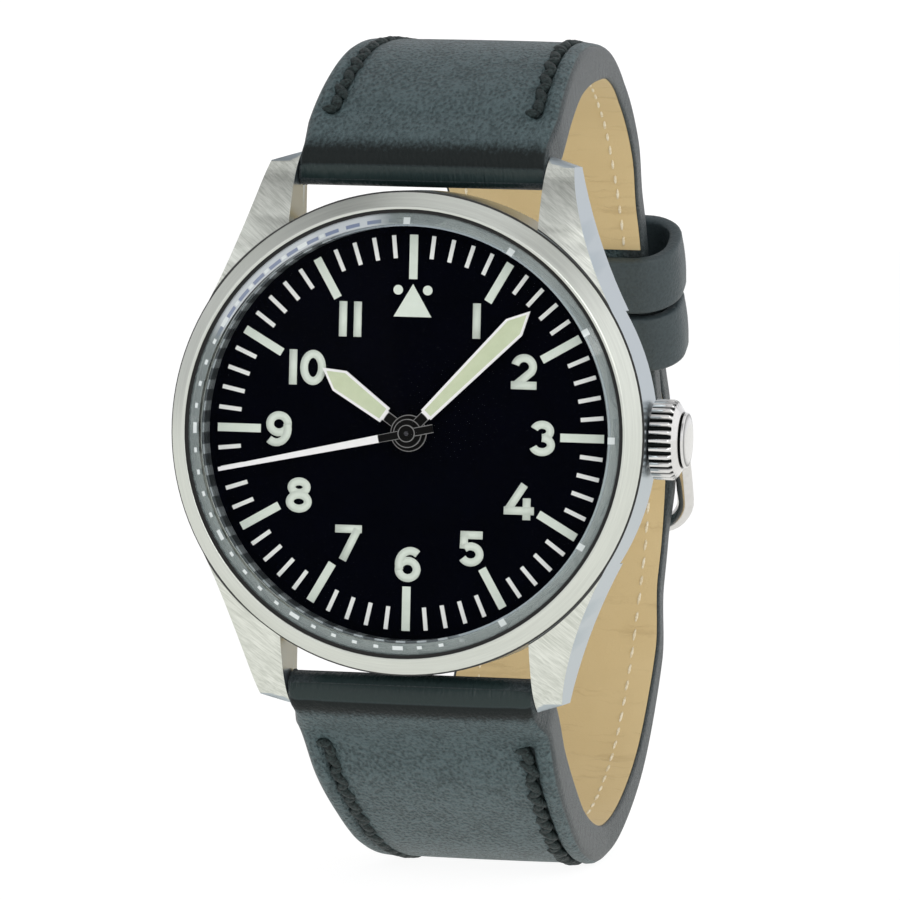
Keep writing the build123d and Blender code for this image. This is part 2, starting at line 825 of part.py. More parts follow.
with BuildPart() as rotor:
    with BuildSketch(level(rotor_high - rotor_web_thickness)):
        Circle(rotor_radius)
        with Locations((0, rotor_radius)):
            Rectangle(2 * rotor_radius, 2 * rotor_radius, mode=Mode.SUBTRACT)
        Circle(rotor_hub_radius)
    extrude(amount=rotor_web_thickness)
    with BuildSketch(level(rotor_low)):
        Circle(rotor_radius)
        Circle(rotor_radius - rotor_rim_width, mode=Mode.SUBTRACT)
        with Locations((0, rotor_radius)):
            Rectangle(2 * rotor_radius, 2 * rotor_radius, mode=Mode.SUBTRACT)
    extrude(amount=rotor_thickness)
    with BuildSketch(level(rotor_low)):
        Circle(rotor_bearing_radius + turn_gap)
    extrude(amount=rotor_thickness, mode=Mode.SUBTRACT)
keep(rotor, "rotor")

# Movement ring: fills the space between the movement and the case, and carries the dial
with BuildPart() as movement_ring:
    with BuildSketch(level(ring_low)):
        Circle(case_bore_radius - ring_slack)
        Circle(movement_radius + turn_gap, mode=Mode.SUBTRACT)
    extrude(amount=ring_height)
    with BuildSketch(stem_line):
        Circle(tube_radius + fit_gap)
    extrude(amount=case_bore_radius, mode=Mode.SUBTRACT)
keep(movement_ring, "movement_ring")

# Crown on its tube, with the stem that slides through the winding pinion
crown_start = case_radius + crown_gap
cone_start = crown_start + crown_flute_length
cone_end = cone_start + crown_cone_length
neck_end = cone_end + crown_neck_length
cap_end = neck_end + crown_cap_length
tube_end = case_radius + tube_reach
along_stem = Plane(origin=(0, -stem_height, 0), x_dir=(1, 0, 0), z_dir=(0, -1, 0))
stem_axis = Axis((0, -stem_height, 0), (1, 0, 0))
with BuildPart() as crown_tube:
    with BuildSketch(stem_line.offset(case_bore_radius)):
        Circle(tube_radius)
        Circle(tube_bore_radius, mode=Mode.SUBTRACT)
    extrude(amount=tube_end - case_bore_radius)
keep(crown_tube, "crown_tube")

with BuildPart() as crown:
    with BuildSketch(along_stem):
        with BuildLine():
            Polyline(
                (crown_start, 0),
                (crown_start, crown_radius),
                (cone_start, crown_radius),
                (cone_end, crown_cone_radius),
                (cone_end, crown_neck_radius),
                (neck_end, crown_neck_radius),
                (neck_end, crown_cap_radius),
                (cap_end, crown_cap_radius),
                (cap_end, 0),
                close=True,
            )
        make_face()
    revolve(axis=stem_axis)
    with BuildSketch(stem_line.offset(crown_start)):
        with PolarLocations(crown_radius, crown_flutes):
            RegularPolygon(crown_flute_depth, 4)
    extrude(amount=cone_end - crown_start, mode=Mode.SUBTRACT)
    with BuildSketch(stem_line.offset(crown_start)):
        Circle(tube_radius + crown_gasket_wall + turn_gap)
    extrude(amount=tube_end + fit_gap - crown_start, mode=Mode.SUBTRACT)
    with BuildSketch(stem_line.offset(tube_end + fit_gap)):
        Circle(stem_radius)
    extrude(amount=cone_end - tube_end - crown_wall, mode=Mode.SUBTRACT)
keep(crown, "crown")

with BuildPart() as crown_gasket:
    with BuildSketch(stem_line.offset(tube_end + fit_gap - crown_gasket_length)):
        Circle(tube_radius + crown_gasket_wall + turn_gap)
        Circle(tube_radius + turn_gap, mode=Mode.SUBTRACT)
    extrude(amount=crown_gasket_length)
keep(crown_gasket, "crown_gasket")

with BuildPart() as winding_stem:
    with BuildSketch(stem_line.offset(stem_end)):
        Circle(stem_radius)
    extrude(amount=cone_end + fit_gap - crown_wall - stem_end)
keep(winding_stem, "winding_stem")

with BuildPart() as winding_pinion:
    with BuildSketch(stem_line.offset(pinion_start)):
        Polygon(*gear_points(minute_pinion_teeth, pinion_radius - tooth_height / 2, 0), align=None)
        Circle(stem_radius + turn_gap, mode=Mode.SUBTRACT)
    extrude(amount=pinion_length)
keep(winding_pinion, "winding_pinion")


# Spring bars: a tube with a thin tip at each end
def spring_bar(name, plane, radius, half_length, tip_length):
    """Writes a bar along X, centred on the plane's origin."""
    with BuildPart() as bar:
        with BuildSketch(plane):
            Circle(radius)
        extrude(amount=half_length, both=True)
        with BuildSketch(plane):
            Circle(bar_tip_radius)
        extrude(amount=half_length + tip_length, both=True)
    keep(bar, name)


def bar_plane(depth, height):
    """A side view plane whose origin is on a bar's axis."""
    return Plane(origin=(0, depth, height), x_dir=(0, 0, 1), z_dir=(1, 0, 0))


bar_half = strap_width / 2 - leather_gap
bar_tips = lug_inner - bar_half + bar_tip_length
spring_bar("spring_bar_upper", bar_plane(-bar_height, bar_reach), bar_radius, bar_half, bar_tips)
spring_bar("spring_bar_lower", bar_plane(-bar_height, -bar_reach), bar_radius, bar_half, bar_tips)

# Closure frame: the first coordinate runs up the strap from the buckle's bar, the second away from the wrist
slant = radians(closure_angle)
buckle_pivot = Vector(0, buckle_depth, -buckle_drop)
up_strap = Vector(0, -cos(slant), sin(slant))
outward = Vector(0, sin(slant), cos(slant))
closure_side = Plane(origin=buckle_pivot, x_dir=up_strap, z_dir=(-1, 0, 0))
closure_face = Plane(origin=buckle_pivot, x_dir=(1, 0, 0), z_dir=outward)
closure_run = (-cos(slant), sin(slant))


def closure_point(along, out):
    """A point of the side view (depth, height), from its place in the closure frame."""
    place = buckle_pivot + up_strap * along + outward * out
    return place.Y, place.Z


def closure_section(along):
    """A plane across the strap, with X along its x axis and its y axis away from the wrist."""
    return Plane(origin=buckle_pivot + up_strap * along, x_dir=(1, 0, 0), z_dir=up_strap)


# Middle line of each strap piece: shares of the loop's depth, of its reach past the bar and of the thickness
upper_route_shares = [
    (0.013, 0.283, 0.95),
    (0.085, 0.508, 1.0),
    (0.185, 0.719, 1.0),
    (0.279, 0.836, 0.93),
    (0.373, 0.883, 0.78),
    (0.434, 0.855, 0.68),
    (0.524, 0.737, 0.62),
    (0.605, 0.518, 0.62),
    (0.671, 0.218, 0.62),
]
lower_route_shares = [
    (0.035, 0.153, 0.93),
    (0.124, 0.393, 1.0),
    (0.234, 0.600, 1.0),
    (0.347, 0.781, 0.95),
    (0.476, 0.899, 0.86),
    (0.568, 0.918, 0.79),
    (0.652, 0.852, 0.79),
    (0.755, 0.682, 0.76),
    (0.829, 0.482, 0.74),
    (0.905, 0.153, 0.70),
    (0.955, -0.165, 0.66),
]
# Where the long piece passes the buckle: shares of the buckle's length, along the strap and outwards
passing_shares = [(-1.07, -0.33), (-0.845, -0.095), (-0.6, 0.095), (-0.3, 0.24), (0, 0.293), (0.345, 0.245)]


def edge(line, half_sign, extra, outer_sign):
    """Points beside a middle line: half its thickness to one side, and an extra distance outwards."""
    found = []
    for index, (depth, height, thickness) in enumerate(line):
        before = line[max(index - 1, 0)]
        after = line[min(index + 1, len(line) - 1)]
        run = atan2(after[1] - before[1], after[0] - before[0])
        reach = outer_sign * (half_sign * thickness / 2 + extra)
        found.append((depth - reach * sin(run), height + reach * cos(run)))
    return found


def strap_run(line, outer_sign, half_sign, extra, straight, run_sign):
    """Draws one long edge of a strap piece: a spline, then the straight run at the closure."""
    start, stop, out, thickness = straight
    shift = out + half_sign * thickness / 2 + extra
    *points, _ = edge([*line, (*closure_point(start, out), thickness)], half_sign, extra, outer_sign)
    first = (points[1][0] - points[0][0], points[1][1] - points[0][1])
    last = (run_sign * closure_run[0], run_sign * closure_run[1])
    curve = Spline(*points, closure_point(start, shift), tangents=(first, last))
    finish = Line(curve @ 1, closure_point(stop, shift))
    return curve @ 0, finish @ 1


def strap_view(line, outer_sign, straight, run_sign):
    """The outline of a strap piece's side view."""
    with BuildLine() as outline:
        inner = strap_run(line, outer_sign, -1, 0, straight, run_sign)
        outer = strap_run(line, outer_sign, 1, 0, straight, run_sign)
        Line(inner[0], outer[0])
        Line(inner[1], outer[1])
    return outline.edges()


def lining_view(line, outer_sign, straight, run_sign):
    """The outline of the lining's place, run over past the inner face."""
    with BuildLine() as outline:
        inner = strap_run(line, outer_sign, -1, -overrun, straight, run_sign)
        covered = strap_run(line, outer_sign, -1, lining_thickness, straight, run_sign)
        Line(inner[0], covered[0])
        Line(inner[1], covered[1])
    return outline.edges()


def strap_plan():
    """Draws the strap's plan, which narrows from the lugs to the buckle."""
    half, narrow = strap_width / 2, strap_end_width / 2
    front, back = -crystal_high, 2 * loop_depth
    Polygon(
        (-half, front),
        (half, front),
        (half, taper_start),
        (narrow, taper_end),
        (narrow, back),
        (-narrow, back),
        (-narrow, taper_end),
        (-half, taper_start),
        align=None,
    )


end_middle = strap_end_thickness / 2
tail_middle = end_middle + tail_gap + tail_thickness / 2
upper_root = (-bar_height, bar_reach, strap_end_thickness)
lower_root = (-bar_height, -bar_reach, strap_end_thickness)
upper_line = [upper_root]
for depth, reach, thickness in upper_route_shares:
    upper_line.append((loop_depth * depth, bar_reach + loop_over_bar * reach, strap_thickness * thickness))
lower_line = [lower_root]
for depth, reach, thickness in lower_route_shares:
    lower_line.append((loop_depth * depth, -bar_reach - loop_under_bar * reach, strap_thickness * thickness))
for along, out in passing_shares:
    lower_line.append((*closure_point(buckle_length * along, buckle_length * out), tail_thickness))
upper_straight = (closure_length, 0, 0, strap_end_thickness)
lined_straight = (closure_length, lining_end, 0, strap_end_thickness)
tail_straight = (tail_start, tail_length, tail_middle, tail_thickness)
tail_lined = (tail_start, tail_length + overrun, tail_middle, tail_thickness)
reach_down = bar_reach + loop_under_bar + strap_thickness

# Upper strap piece: wraps the upper spring bar, and at its other end the buckle's bar
with BuildPart() as strap_upper_leather:
    with BuildSketch(Plane.YZ):
        make_face(strap_view(upper_line, 1, upper_straight, -1))
        with Locations((-bar_height, bar_reach)):
            Circle(strap_roll_radius)
            Circle(bar_radius + turn_gap, mode=Mode.SUBTRACT)
        with Locations(closure_point(0, 0)):
            Circle(buckle_roll_radius)
            Circle(buckle_bar_radius + turn_gap, mode=Mode.SUBTRACT)
        make_face(lining_view(upper_line[1:], 1, lined_straight, -1), mode=Mode.SUBTRACT)
    extrude(amount=strap_width, both=True)
    with BuildSketch(Plane.XY):
        strap_plan()
    extrude(amount=reach_down, both=True, mode=Mode.INTERSECT)
    with BuildSketch(closure_side):
        Rectangle(2 * notch_reach, 2 * notch_reach)
    extrude(amount=tongue_width / 2 + leather_gap, both=True, mode=Mode.SUBTRACT)
keep(strap_upper_leather, "strap_upper_leather")

with BuildPart() as strap_upper_lining:
    with BuildSketch(Plane.YZ):
        make_face(strap_view(upper_line, 1, upper_straight, -1))
        make_face(lining_view(upper_line[1:], 1, lined_straight, -1), mode=Mode.INTERSECT)
    extrude(amount=strap_width, both=True)
    with BuildSketch(Plane.XY):
        strap_plan()
    extrude(amount=reach_down, both=True, mode=Mode.INTERSECT)
keep(strap_upper_lining, "strap_upper_lining")


def tail_cuts():
    """Rounds the tip of the long piece and cuts the hole that the tongue stands in."""
    with BuildSketch(closure_face) as cuts:
        with BuildLine():
            tip = ThreePointArc(
                (-strap_end_width / 2, tip_round - tail_length),
                (0, -tail_length),
                (strap_end_width / 2, tip_round - tail_length),
            )
            Polyline(
                tip @ 1,
                (strap_end_width, tip_round - tail_length),
                (strap_end_width, -2 * tail_length),
                (-strap_end_width, -2 * tail_length),
                (-strap_end_width, tip_round - tail_length),
                tip @ 0,
            )
        make_face()
        with Locations((0, (tongue_slot_start + tongue_slot_end) / 2)):
            Rectangle(tongue_width + 2 * leather_gap, tongue_slot_end - tongue_slot_start)
    extrude(cuts.sketch, amount=buckle_length, both=True, mode=Mode.SUBTRACT)


# Lower strap piece: the long one, which passes the buckle and lies over the short one under the keepers
with BuildPart() as strap_lower_leather:
    with BuildSketch(Plane.YZ):
        make_face(strap_view(lower_line, -1, tail_straight, 1))
        with Locations((-bar_height, -bar_reach)):
            Circle(strap_roll_radius)
            Circle(bar_radius + turn_gap, mode=Mode.SUBTRACT)
        make_face(lining_view(lower_line[1:], -1, tail_lined, 1), mode=Mode.SUBTRACT)
    extrude(amount=strap_width, both=True)
    with BuildSketch(Plane.XY):
        strap_plan()
    extrude(amount=reach_down, both=True, mode=Mode.INTERSECT)
    tail_cuts()
keep(strap_lower_leather, "strap_lower_leather")

with BuildPart() as strap_lower_lining:
    with BuildSketch(Plane.YZ):
        make_face(strap_view(lower_line, -1, tail_straight, 1))
        make_face(lining_view(lower_line[1:], -1, tail_lined, 1), mode=Mode.INTERSECT)
    extrude(amount=strap_width, both=True)
    with BuildSketch(Plane.XY):
        strap_plan()
    extrude(amount=reach_down, both=True, mode=Mode.INTERSECT)
    tail_cuts()
keep(strap_lower_lining, "strap_lower_lining")


# Keepers: one sewn in place, one that slides
def keeper(name, start, slack, room):
    """Writes a leather loop round both strap pieces, with slack at the sides and room outwards."""
    low = -end_middle - slack
    high = tail_middle + tail_thickness / 2 + room
    inner_width = strap_end_width + 2 * slack
    with BuildPart() as loop:
        with BuildSketch(closure_section(start)):
            with Locations((0, (low + high) / 2)):
                RectangleRounded(inner_width + 2 * keeper_wall, high - low + 2 * keeper_wall, keeper_corner)
                RectangleRounded(inner_width, high - low, keeper_corner - keeper_wall, mode=Mode.SUBTRACT)
        extrude(amount=keeper_width)
    keep(loop, name)


keeper("keeper_fixed", fixed_keeper_start, fixed_keeper_slack, fixed_keeper_slack)
keeper("keeper_sliding", free_keeper_start, free_keeper_slack, free_keeper_room)

# Buckle: an arched wire frame and its tongue, both turning on a spring bar in the end of the short piece
arm_inner = strap_end_width / 2 + buckle_side_gap
arm_outer = arm_inner + buckle_wire
half_wire = buckle_wire / 2
spring_bar("buckle_spring_bar", closure_side, buckle_bar_radius, arm_inner - fit_gap, half_wire)
with BuildPart() as buckle_frame:
    with BuildSketch(closure_side):
        Circle(buckle_eye_radius)
        with Locations((-buckle_length, buckle_bow_rise)):
            Circle(half_wire)
        with BuildLine():
            crest = buckle_bow_rise / 2 + buckle_arch
            over = ThreePointArc(
                (0, half_wire),
                (-buckle_length / 2, crest + half_wire),
                (-buckle_length, buckle_bow_rise + half_wire),
            )
            under = ThreePointArc(
                (0, -half_wire),
                (-buckle_length / 2, crest - half_wire),
                (-buckle_length, buckle_bow_rise - half_wire),
            )
            Line(over @ 0, under @ 0)
            Line(over @ 1, under @ 1)
        make_face()
    extrude(amount=arm_outer, both=True)
    with BuildSketch(closure_face):
        low, high = -buckle_eye_radius - buckle_corner, buckle_length + half_wire
        with Locations((0, (low + high) / 2)):
            RectangleRounded(2 * arm_outer, high - low, buckle_corner)
        high -= buckle_wire
        with Locations((0, (low + high) / 2)):
            RectangleRounded(2 * arm_inner, high - low, buckle_corner - buckle_wire, mode=Mode.SUBTRACT)
        with Locations((0, low)):
            Rectangle(2 * arm_inner, 2 * buckle_corner, mode=Mode.SUBTRACT)
    extrude(amount=buckle_length, both=True, mode=Mode.INTERSECT)
    with BuildSketch(closure_side):
        Circle(bar_tip_radius + turn_gap)
    extrude(amount=arm_outer + overrun, both=True, mode=Mode.SUBTRACT)
keep(buckle_frame, "buckle_frame")

tongue_line_shares = [(-0.04, 0.07), (-0.15, 0.235), (-0.27, 0.36), (-0.48, 0.38), (-0.78, 0.28), (-1.07, 0.165)]
tongue_line = [(buckle_length * s, buckle_length * n, tongue_thickness) for s, n in tongue_line_shares]
with BuildPart() as buckle_tongue:
    with BuildSketch(closure_side):
        Circle(buckle_bar_radius + turn_gap + tongue_ring_wall)
        with BuildLine():
            over = Spline(*edge(tongue_line, 1, 0, -1))
            under = Spline(*edge(tongue_line, -1, 0, -1))
            Line(over @ 0, under @ 0)
            Line(over @ 1, under @ 1)
        make_face()
        Circle(buckle_bar_radius + turn_gap, mode=Mode.SUBTRACT)
    extrude(amount=tongue_width / 2, both=True)
keep(buckle_tongue, "buckle_tongue")
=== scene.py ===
import json
from itertools import pairwise
from math import atan2, cos, pi, radians, sin, sqrt, tau

import bmesh
import bpy
from mathutils import Matrix, Vector
from mathutils.geometry import interpolate_bezier

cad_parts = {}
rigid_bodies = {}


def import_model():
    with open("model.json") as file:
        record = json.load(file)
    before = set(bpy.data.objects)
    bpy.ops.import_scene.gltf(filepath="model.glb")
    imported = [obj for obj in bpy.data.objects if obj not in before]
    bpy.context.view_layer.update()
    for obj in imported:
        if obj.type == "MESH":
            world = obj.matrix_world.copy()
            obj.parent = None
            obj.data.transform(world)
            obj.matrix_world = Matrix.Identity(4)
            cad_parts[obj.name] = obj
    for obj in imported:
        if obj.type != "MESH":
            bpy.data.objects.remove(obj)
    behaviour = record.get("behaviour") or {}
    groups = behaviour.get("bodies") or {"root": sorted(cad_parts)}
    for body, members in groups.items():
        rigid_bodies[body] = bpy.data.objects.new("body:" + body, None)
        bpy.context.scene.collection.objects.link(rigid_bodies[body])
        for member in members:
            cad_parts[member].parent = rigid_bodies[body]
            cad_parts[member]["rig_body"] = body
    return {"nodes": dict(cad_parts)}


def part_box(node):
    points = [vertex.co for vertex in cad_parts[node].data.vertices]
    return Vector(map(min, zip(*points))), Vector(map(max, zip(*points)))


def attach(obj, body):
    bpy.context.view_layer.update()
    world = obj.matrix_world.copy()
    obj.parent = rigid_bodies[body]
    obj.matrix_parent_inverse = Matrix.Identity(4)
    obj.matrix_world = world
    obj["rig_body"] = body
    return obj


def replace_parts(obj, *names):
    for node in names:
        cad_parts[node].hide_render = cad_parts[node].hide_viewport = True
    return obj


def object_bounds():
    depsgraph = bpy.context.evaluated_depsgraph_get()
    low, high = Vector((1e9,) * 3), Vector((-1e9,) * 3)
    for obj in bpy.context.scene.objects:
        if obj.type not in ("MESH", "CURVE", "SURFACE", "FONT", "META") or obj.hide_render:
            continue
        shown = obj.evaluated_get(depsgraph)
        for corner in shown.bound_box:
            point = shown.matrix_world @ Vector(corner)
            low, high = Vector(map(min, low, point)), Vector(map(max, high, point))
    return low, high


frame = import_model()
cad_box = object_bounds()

scene = bpy.context.scene
mm = 0.001

# Camera: it stands to the watch's right and a little above it, far away with a long lens,
# and is rolled a little, so that 12 o'clock leans to the left.
eye_azimuth, eye_elevation, eye_roll = radians(12.9), radians(2.64), radians(1.27)
eye_distance = 673.5 * mm
eye_aim = Vector((3.4, -6.2, -1.4)) * mm
lens_length, sensor_width = 311.2, 36.0
eye = bpy.data.objects.new("eye", bpy.data.cameras.new("eye"))
scene.collection.objects.link(eye)
turned = Matrix.Rotation(eye_azimuth, 4, "Z") @ Matrix.Rotation(pi / 2 - eye_elevation, 4, "X")
turned = turned @ Matrix.Rotation(eye_roll, 4, "Z")
eye.matrix_world = Matrix.Translation(eye_aim + turned.col[2].to_3d() * eye_distance) @ turned
eye.data.lens, eye.data.sensor_width = lens_length, sensor_width
eye.data.clip_start, eye.data.clip_end = 0.05, 20
scene.camera = eye

# Studio: a white table that the strap stands on, a white room, and three large soft lamps.
# The room is grey to the sides, which gives the polished steel something dark to mirror.
scene.view_settings.view_transform = "Standard"
floor_reach, floor_drop = 3.0, 0.3 * mm
floor_shape = bmesh.new()
bmesh.ops.create_grid(floor_shape, x_segments=1, y_segments=1, size=floor_reach)
bmesh.ops.translate(floor_shape, vec=(0, 0, cad_box[0].z - floor_drop), verts=floor_shape.verts[:])
floor = bpy.data.objects.new("floor", bpy.data.meshes.new("floor"))
floor_shape.to_mesh(floor.data)
floor_shape.free()
scene.collection.objects.link(floor)


class Measure:
    """A number, colour or vector that changes over a surface; Python's operators add Math nodes."""

    def __init__(self, finish, socket):
        self.finish, self.socket = finish, socket

    def math(self, operation, *terms):
        return self.finish.node("Math", {"operation": operation}, dict(enumerate(terms)))

    def __add__(self, other):
        return self.math("ADD", self, other)

    def __sub__(self, other):
        return self.math("SUBTRACT", self, other)

    def __rsub__(self, other):
        return self.math("SUBTRACT", other, self)

    def __mul__(self, other):
        return self.math("MULTIPLY", self, other)

    def __truediv__(self, other):
        return self.math("DIVIDE", self, other)

    def __pow__(self, other):
        return self.math("POWER", self, other)

    def size(self):
        return self.math("ABSOLUTE", self)

    def ramp(self, low, high):
        """0 below low and 1 above high, with a smooth step between."""
        settings = {"interpolation_type": "SMOOTHSTEP"}
        return self.finish.node("MapRange", settings, {0: self, 1: low, 2: high, 3: 0.0, 4: 1.0})


class Finish:
    """A material made of nodes. What is the same all over is set on its shader's own sockets."""

    def __init__(self, name, fixed, stock=bpy.data.materials, shader="Principled BSDF"):
        self.material = stock.new(name)
        self.material.use_nodes = True
        self.tree = self.material.node_tree
        self.shader = self.tree.nodes[shader]
        self.feed(self.shader, fixed)

    def feed(self, node, sockets):
        """Sets or links a node's sockets."""
        for socket, value in sockets.items():
            if isinstance(value, Measure):
                self.tree.links.new(value.socket, node.inputs[socket])
            else:
                node.inputs[socket].default_value = value

    def node(self, kind, settings, sockets, output=0):
        """Adds a node: its settings first, then its sockets. Gives back one output."""
        made = self.tree.nodes.new("ShaderNode" + kind)
        for setting, value in settings.items():
            if setting == "stops":
                tones = made.color_ramp
                tones.interpolation = "EASE"
                for stop, colour in value:
                    tones.elements.new(stop).color = colour
                tones.elements.remove(tones.elements[0])
                tones.elements.remove(tones.elements[-1])
            else:
                setattr(made, setting, value)
        self.feed(made, sockets)
        return Measure(self, made.outputs[output])

    def place(self):
        """Object coordinates in millimetres: the vector, and its three parts."""
        spot = self.node("TexCoord", {}, {}, 3)
        vector = self.node("VectorMath", {"operation": "SCALE"}, {0: spot, "Scale": 1 / mm})
        return vector, *(self.node("SeparateXYZ", {}, {0: vector}, part) for part in range(3))

    def facing(self, part):
        """One part of the direction that a face looks in."""
        return self.node("SeparateXYZ", {}, {0: self.node("TexCoord", {}, {}, 1)}, part)

    def attribute(self, name):
        """A number that the mesh carries at its corners."""
        return self.node("Attribute", {"attribute_name": name}, {}, 2)

    def camera_sees(self):
        """1 where the camera looks, 0 where a surface mirrors or is lit."""
        return self.node("LightPath", {}, {})

    def combine(self, x, y, z):
        return self.node("CombineXYZ", {}, {0: x, 1: y, 2: z})

    def noise(self, vector, scale, detail=2.0, roughness=0.5):
        sockets = {"Vector": vector, "Scale": scale, "Detail": detail, "Roughness": roughness}
        return self.node("TexNoise", {}, sockets)

    def cells(self, vector, scale, feature="F1"):
        return self.node("TexVoronoi", {"feature": feature}, {"Vector": vector, "Scale": scale})

    def blend(self, mask, low, high):
        """Goes from one colour to another."""
        return self.node("Mix", {"data_type": "RGBA"}, {0: mask, 6: low, 7: high}, 2)

    def bump(self, height, depth):
        """A relief whose full depth is in millimetres."""
        return self.node("Bump", {}, {"Height": height, "Distance": depth * mm})

    def show(self, **sockets):
        """Feeds what changes over the surface to the shader."""
        self.feed(self.shader, {name.replace("_", " "): value for name, value in sockets.items()})
        return self


def grey(tone, warmth=0.0):
    """A grey as a linear colour; warmth adds red and takes blue."""
    return (tone * (1 + warmth), tone, tone * (1 - 1.6 * warmth), 1)


white_table = Finish(
    "white_table",
    {"Base Color": grey(0.16), "Roughness": 0.9, "Specular IOR Level": 0.0, "Emission Strength": 1.0},
)
table_glow = white_table.blend(white_table.camera_sees(), (0.8, 0.8, 0.78, 1), grey(0.93))
white_table.show(Emission_Color=table_glow)
floor.data.materials.append(white_table.material)

room = Finish("white_room", {"Strength": 1.0}, bpy.data.worlds, "Background")
scene.world = room.material
direction = room.node("TexCoord", {}, {})
rightward, upward = (room.node("SeparateXYZ", {}, {0: direction}, part) for part in (0, 2))
wall_tones = [(0.0, 0.6), (0.16, 0.7), (0.3, 0.56), (0.42, 0.84), (0.55, 0.94), (0.7, 0.85), (0.82, 1.05)]
walls = [(stop, (tone, tone, tone * 1.02, 1)) for stop, tone in [*wall_tones, (1.0, 1.2)]]
shade = room.node("ValToRGB", {"stops": walls}, {0: rightward * 0.5 + 0.5})
dimmed = {0: shade, "Scale": 1 - upward.ramp(0.45, 0.95) * 0.58}
room_tone = room.node("VectorMath", {"operation": "SCALE"}, dimmed)
room.show(Color=room.blend(room.camera_sees(), room_tone, grey(1.1)))


def lamp(name, place, size, power, colour):
    """A square soft box that faces the watch."""
    light = bpy.data.lights.new(name, "AREA")
    light.shape, light.size, light.size_y = "RECTANGLE", *size
    light.energy, light.color = power, colour
    made = bpy.data.objects.new(name, light)
    scene.collection.objects.link(made)
    made.location = place
    made.rotation_mode = "QUATERNION"
    made.rotation_quaternion = (-Vector(place)).to_track_quat("-Z", "Y")


lamp("key_lamp", (0.75, -0.95, 0.65), (0.7, 0.7), 3.4, (1, 0.985, 0.96))
lamp("fill_lamp", (-0.9, -0.75, 0.25), (0.6, 0.9), 0.8, (0.96, 0.985, 1))
lamp("top_lamp", (0.05, 0.15, 1.1), (0.9, 0.9), 1.0, (1, 1, 1))


# Mid-case with its four lugs, bezel and case back: solid steel, turned and milled. The lugs are brushed
# aslant, the bezel and the back in circles, and the flanks are polished. The bezel is pressed on, and
# the back is screwed in.
def from_axis(x, z):
    """The distance from the watch's axis."""
    return (x * x + z * z) ** 0.5


def circular_brushing(finish):
    """Fine lines that run in circles round the watch's axis."""
    _, x, y, z = finish.place()
    radius = from_axis(x, z)
    turn_rate, line_rate = 7.0, 13.0
    spot = finish.combine(x / radius * turn_rate, (radius + y) * line_rate, z / radius * turn_rate)
    return finish.noise(spot, 1.0, 3.0, 0.6), finish.noise(spot, 0.16, 2.0)


def brushed_steel(name, tone, tint):
    """Brushed all over, with painted shade on the side walls."""
    finish = Finish(name, {"Metallic": 1.0, "Anisotropic": 0.0})
    lines, bands = circular_brushing(finish)
    streaks = lines * 0.6 + bands * 0.4
    light = Vector(tint) * tone
    colour = finish.blend(streaks.ramp(0.25, 0.75), (*light * 0.82, 1), (*light, 1))
    # Painted shade on faces that look sideways rather than to the front or back.
    colour = finish.blend(finish.facing(1).size().ramp(0.15, 0.4), grey(0.17, 0.05), colour)
    return finish.show(Base_Color=colour, Roughness=streaks * 0.22 + 0.24, Normal=finish.bump(lines, 0.006))


def steel_case():
    """Brushed aslant where it looks to the front, polished on the flanks in a bluish tone that is a painted
    reflection, with painted shade where it meets the bezel.
    """
    finish = Finish("steel_case", {"Metallic": 1.0})
    _, x, y, z = finish.place()
    slope, joint = radians(38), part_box("bezel")[1].x / mm + 0.2
    beside, along = x * sin(slope) + z * cos(slope), x * cos(slope) - z * sin(slope)
    lines = finish.noise(finish.combine(beside * 9, along * 0.45, y * 3), 1.0, 3.0, 0.6)
    bands = finish.noise(finish.combine(beside * 3, along * 0.12, y), 1.0, 2.0)
    streaks = lines * 0.65 + bands * 0.35
    front = (0 - finish.facing(1)).ramp(0.5, 0.56)
    brushed = finish.blend(streaks.ramp(0.3, 0.7), (0.58, 0.605, 0.545, 1), (0.87, 0.89, 0.825, 1))
    # Painted shade in the joint with the bezel.
    brushed = finish.blend(from_axis(x, z).ramp(joint, joint + 0.06), grey(0.07), brushed)
    # The flanks' darker bluish tone is a painted reflection.
    colour = finish.blend(front, (0.45, 0.51, 0.545, 1), brushed)
    relief = finish.bump(lines * front, 0.009)
    return finish.show(Base_Color=colour, Roughness=front * (streaks * 0.2 - 0.08) + 0.3, Normal=relief)


weld = 0.0005 * mm


def finished(shape, name, body, finish, sharp=32):
    """Makes a piece of a bmesh, lets it ride on a body and gives it its finish."""
    bmesh.ops.remove_doubles(shape, verts=shape.verts[:], dist=weld)
    bmesh.ops.recalc_face_normals(shape, faces=shape.faces[:])
    mesh = bpy.data.meshes.new(name)
    shape.to_mesh(mesh)
    shape.free()
    mesh.shade_smooth()
    mesh.set_sharp_from_angle(angle=radians(sharp))
    mesh.materials.append(finish.material)
    made = bpy.data.objects.new(name, mesh)
    scene.collection.objects.link(made)
    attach(made, body)
    return made


def soften(piece, name, width, segments, angle):
    """Rounds off the edges of a piece that are sharper than an angle in degrees."""
    edging = piece.modifiers.new(name, "BEVEL")
    edging.width, edging.segments = width, segments
    edging.limit_method, edging.angle_limit = "ANGLE", radians(angle)


def broken_edges(node, finish, width, segments=2, angle=30):
    """A copy of a CAD node whose sharp edges are rounded off; it's shown in the node's place."""
    source = frame["nodes"][node]
    shape = bmesh.new()
    shape.from_mesh(source.data)
    bmesh.ops.remove_doubles(shape, verts=shape.verts[:], dist=weld)
    bmesh.ops.dissolve_limit(shape, angle_limit=radians(0.5), verts=shape.verts[:], edges=shape.edges[:])
    made = finished(shape, node + "_edged", source["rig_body"], finish)
    soften(made, "edging", width * mm, segments, angle)
    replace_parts(made, node)


def dress(finish, *nodes):
    """Gives CAD nodes their finish."""
    for node in nodes:
        mesh = frame["nodes"][node].data
        mesh.materials.clear()
        mesh.materials.append(finish.material)


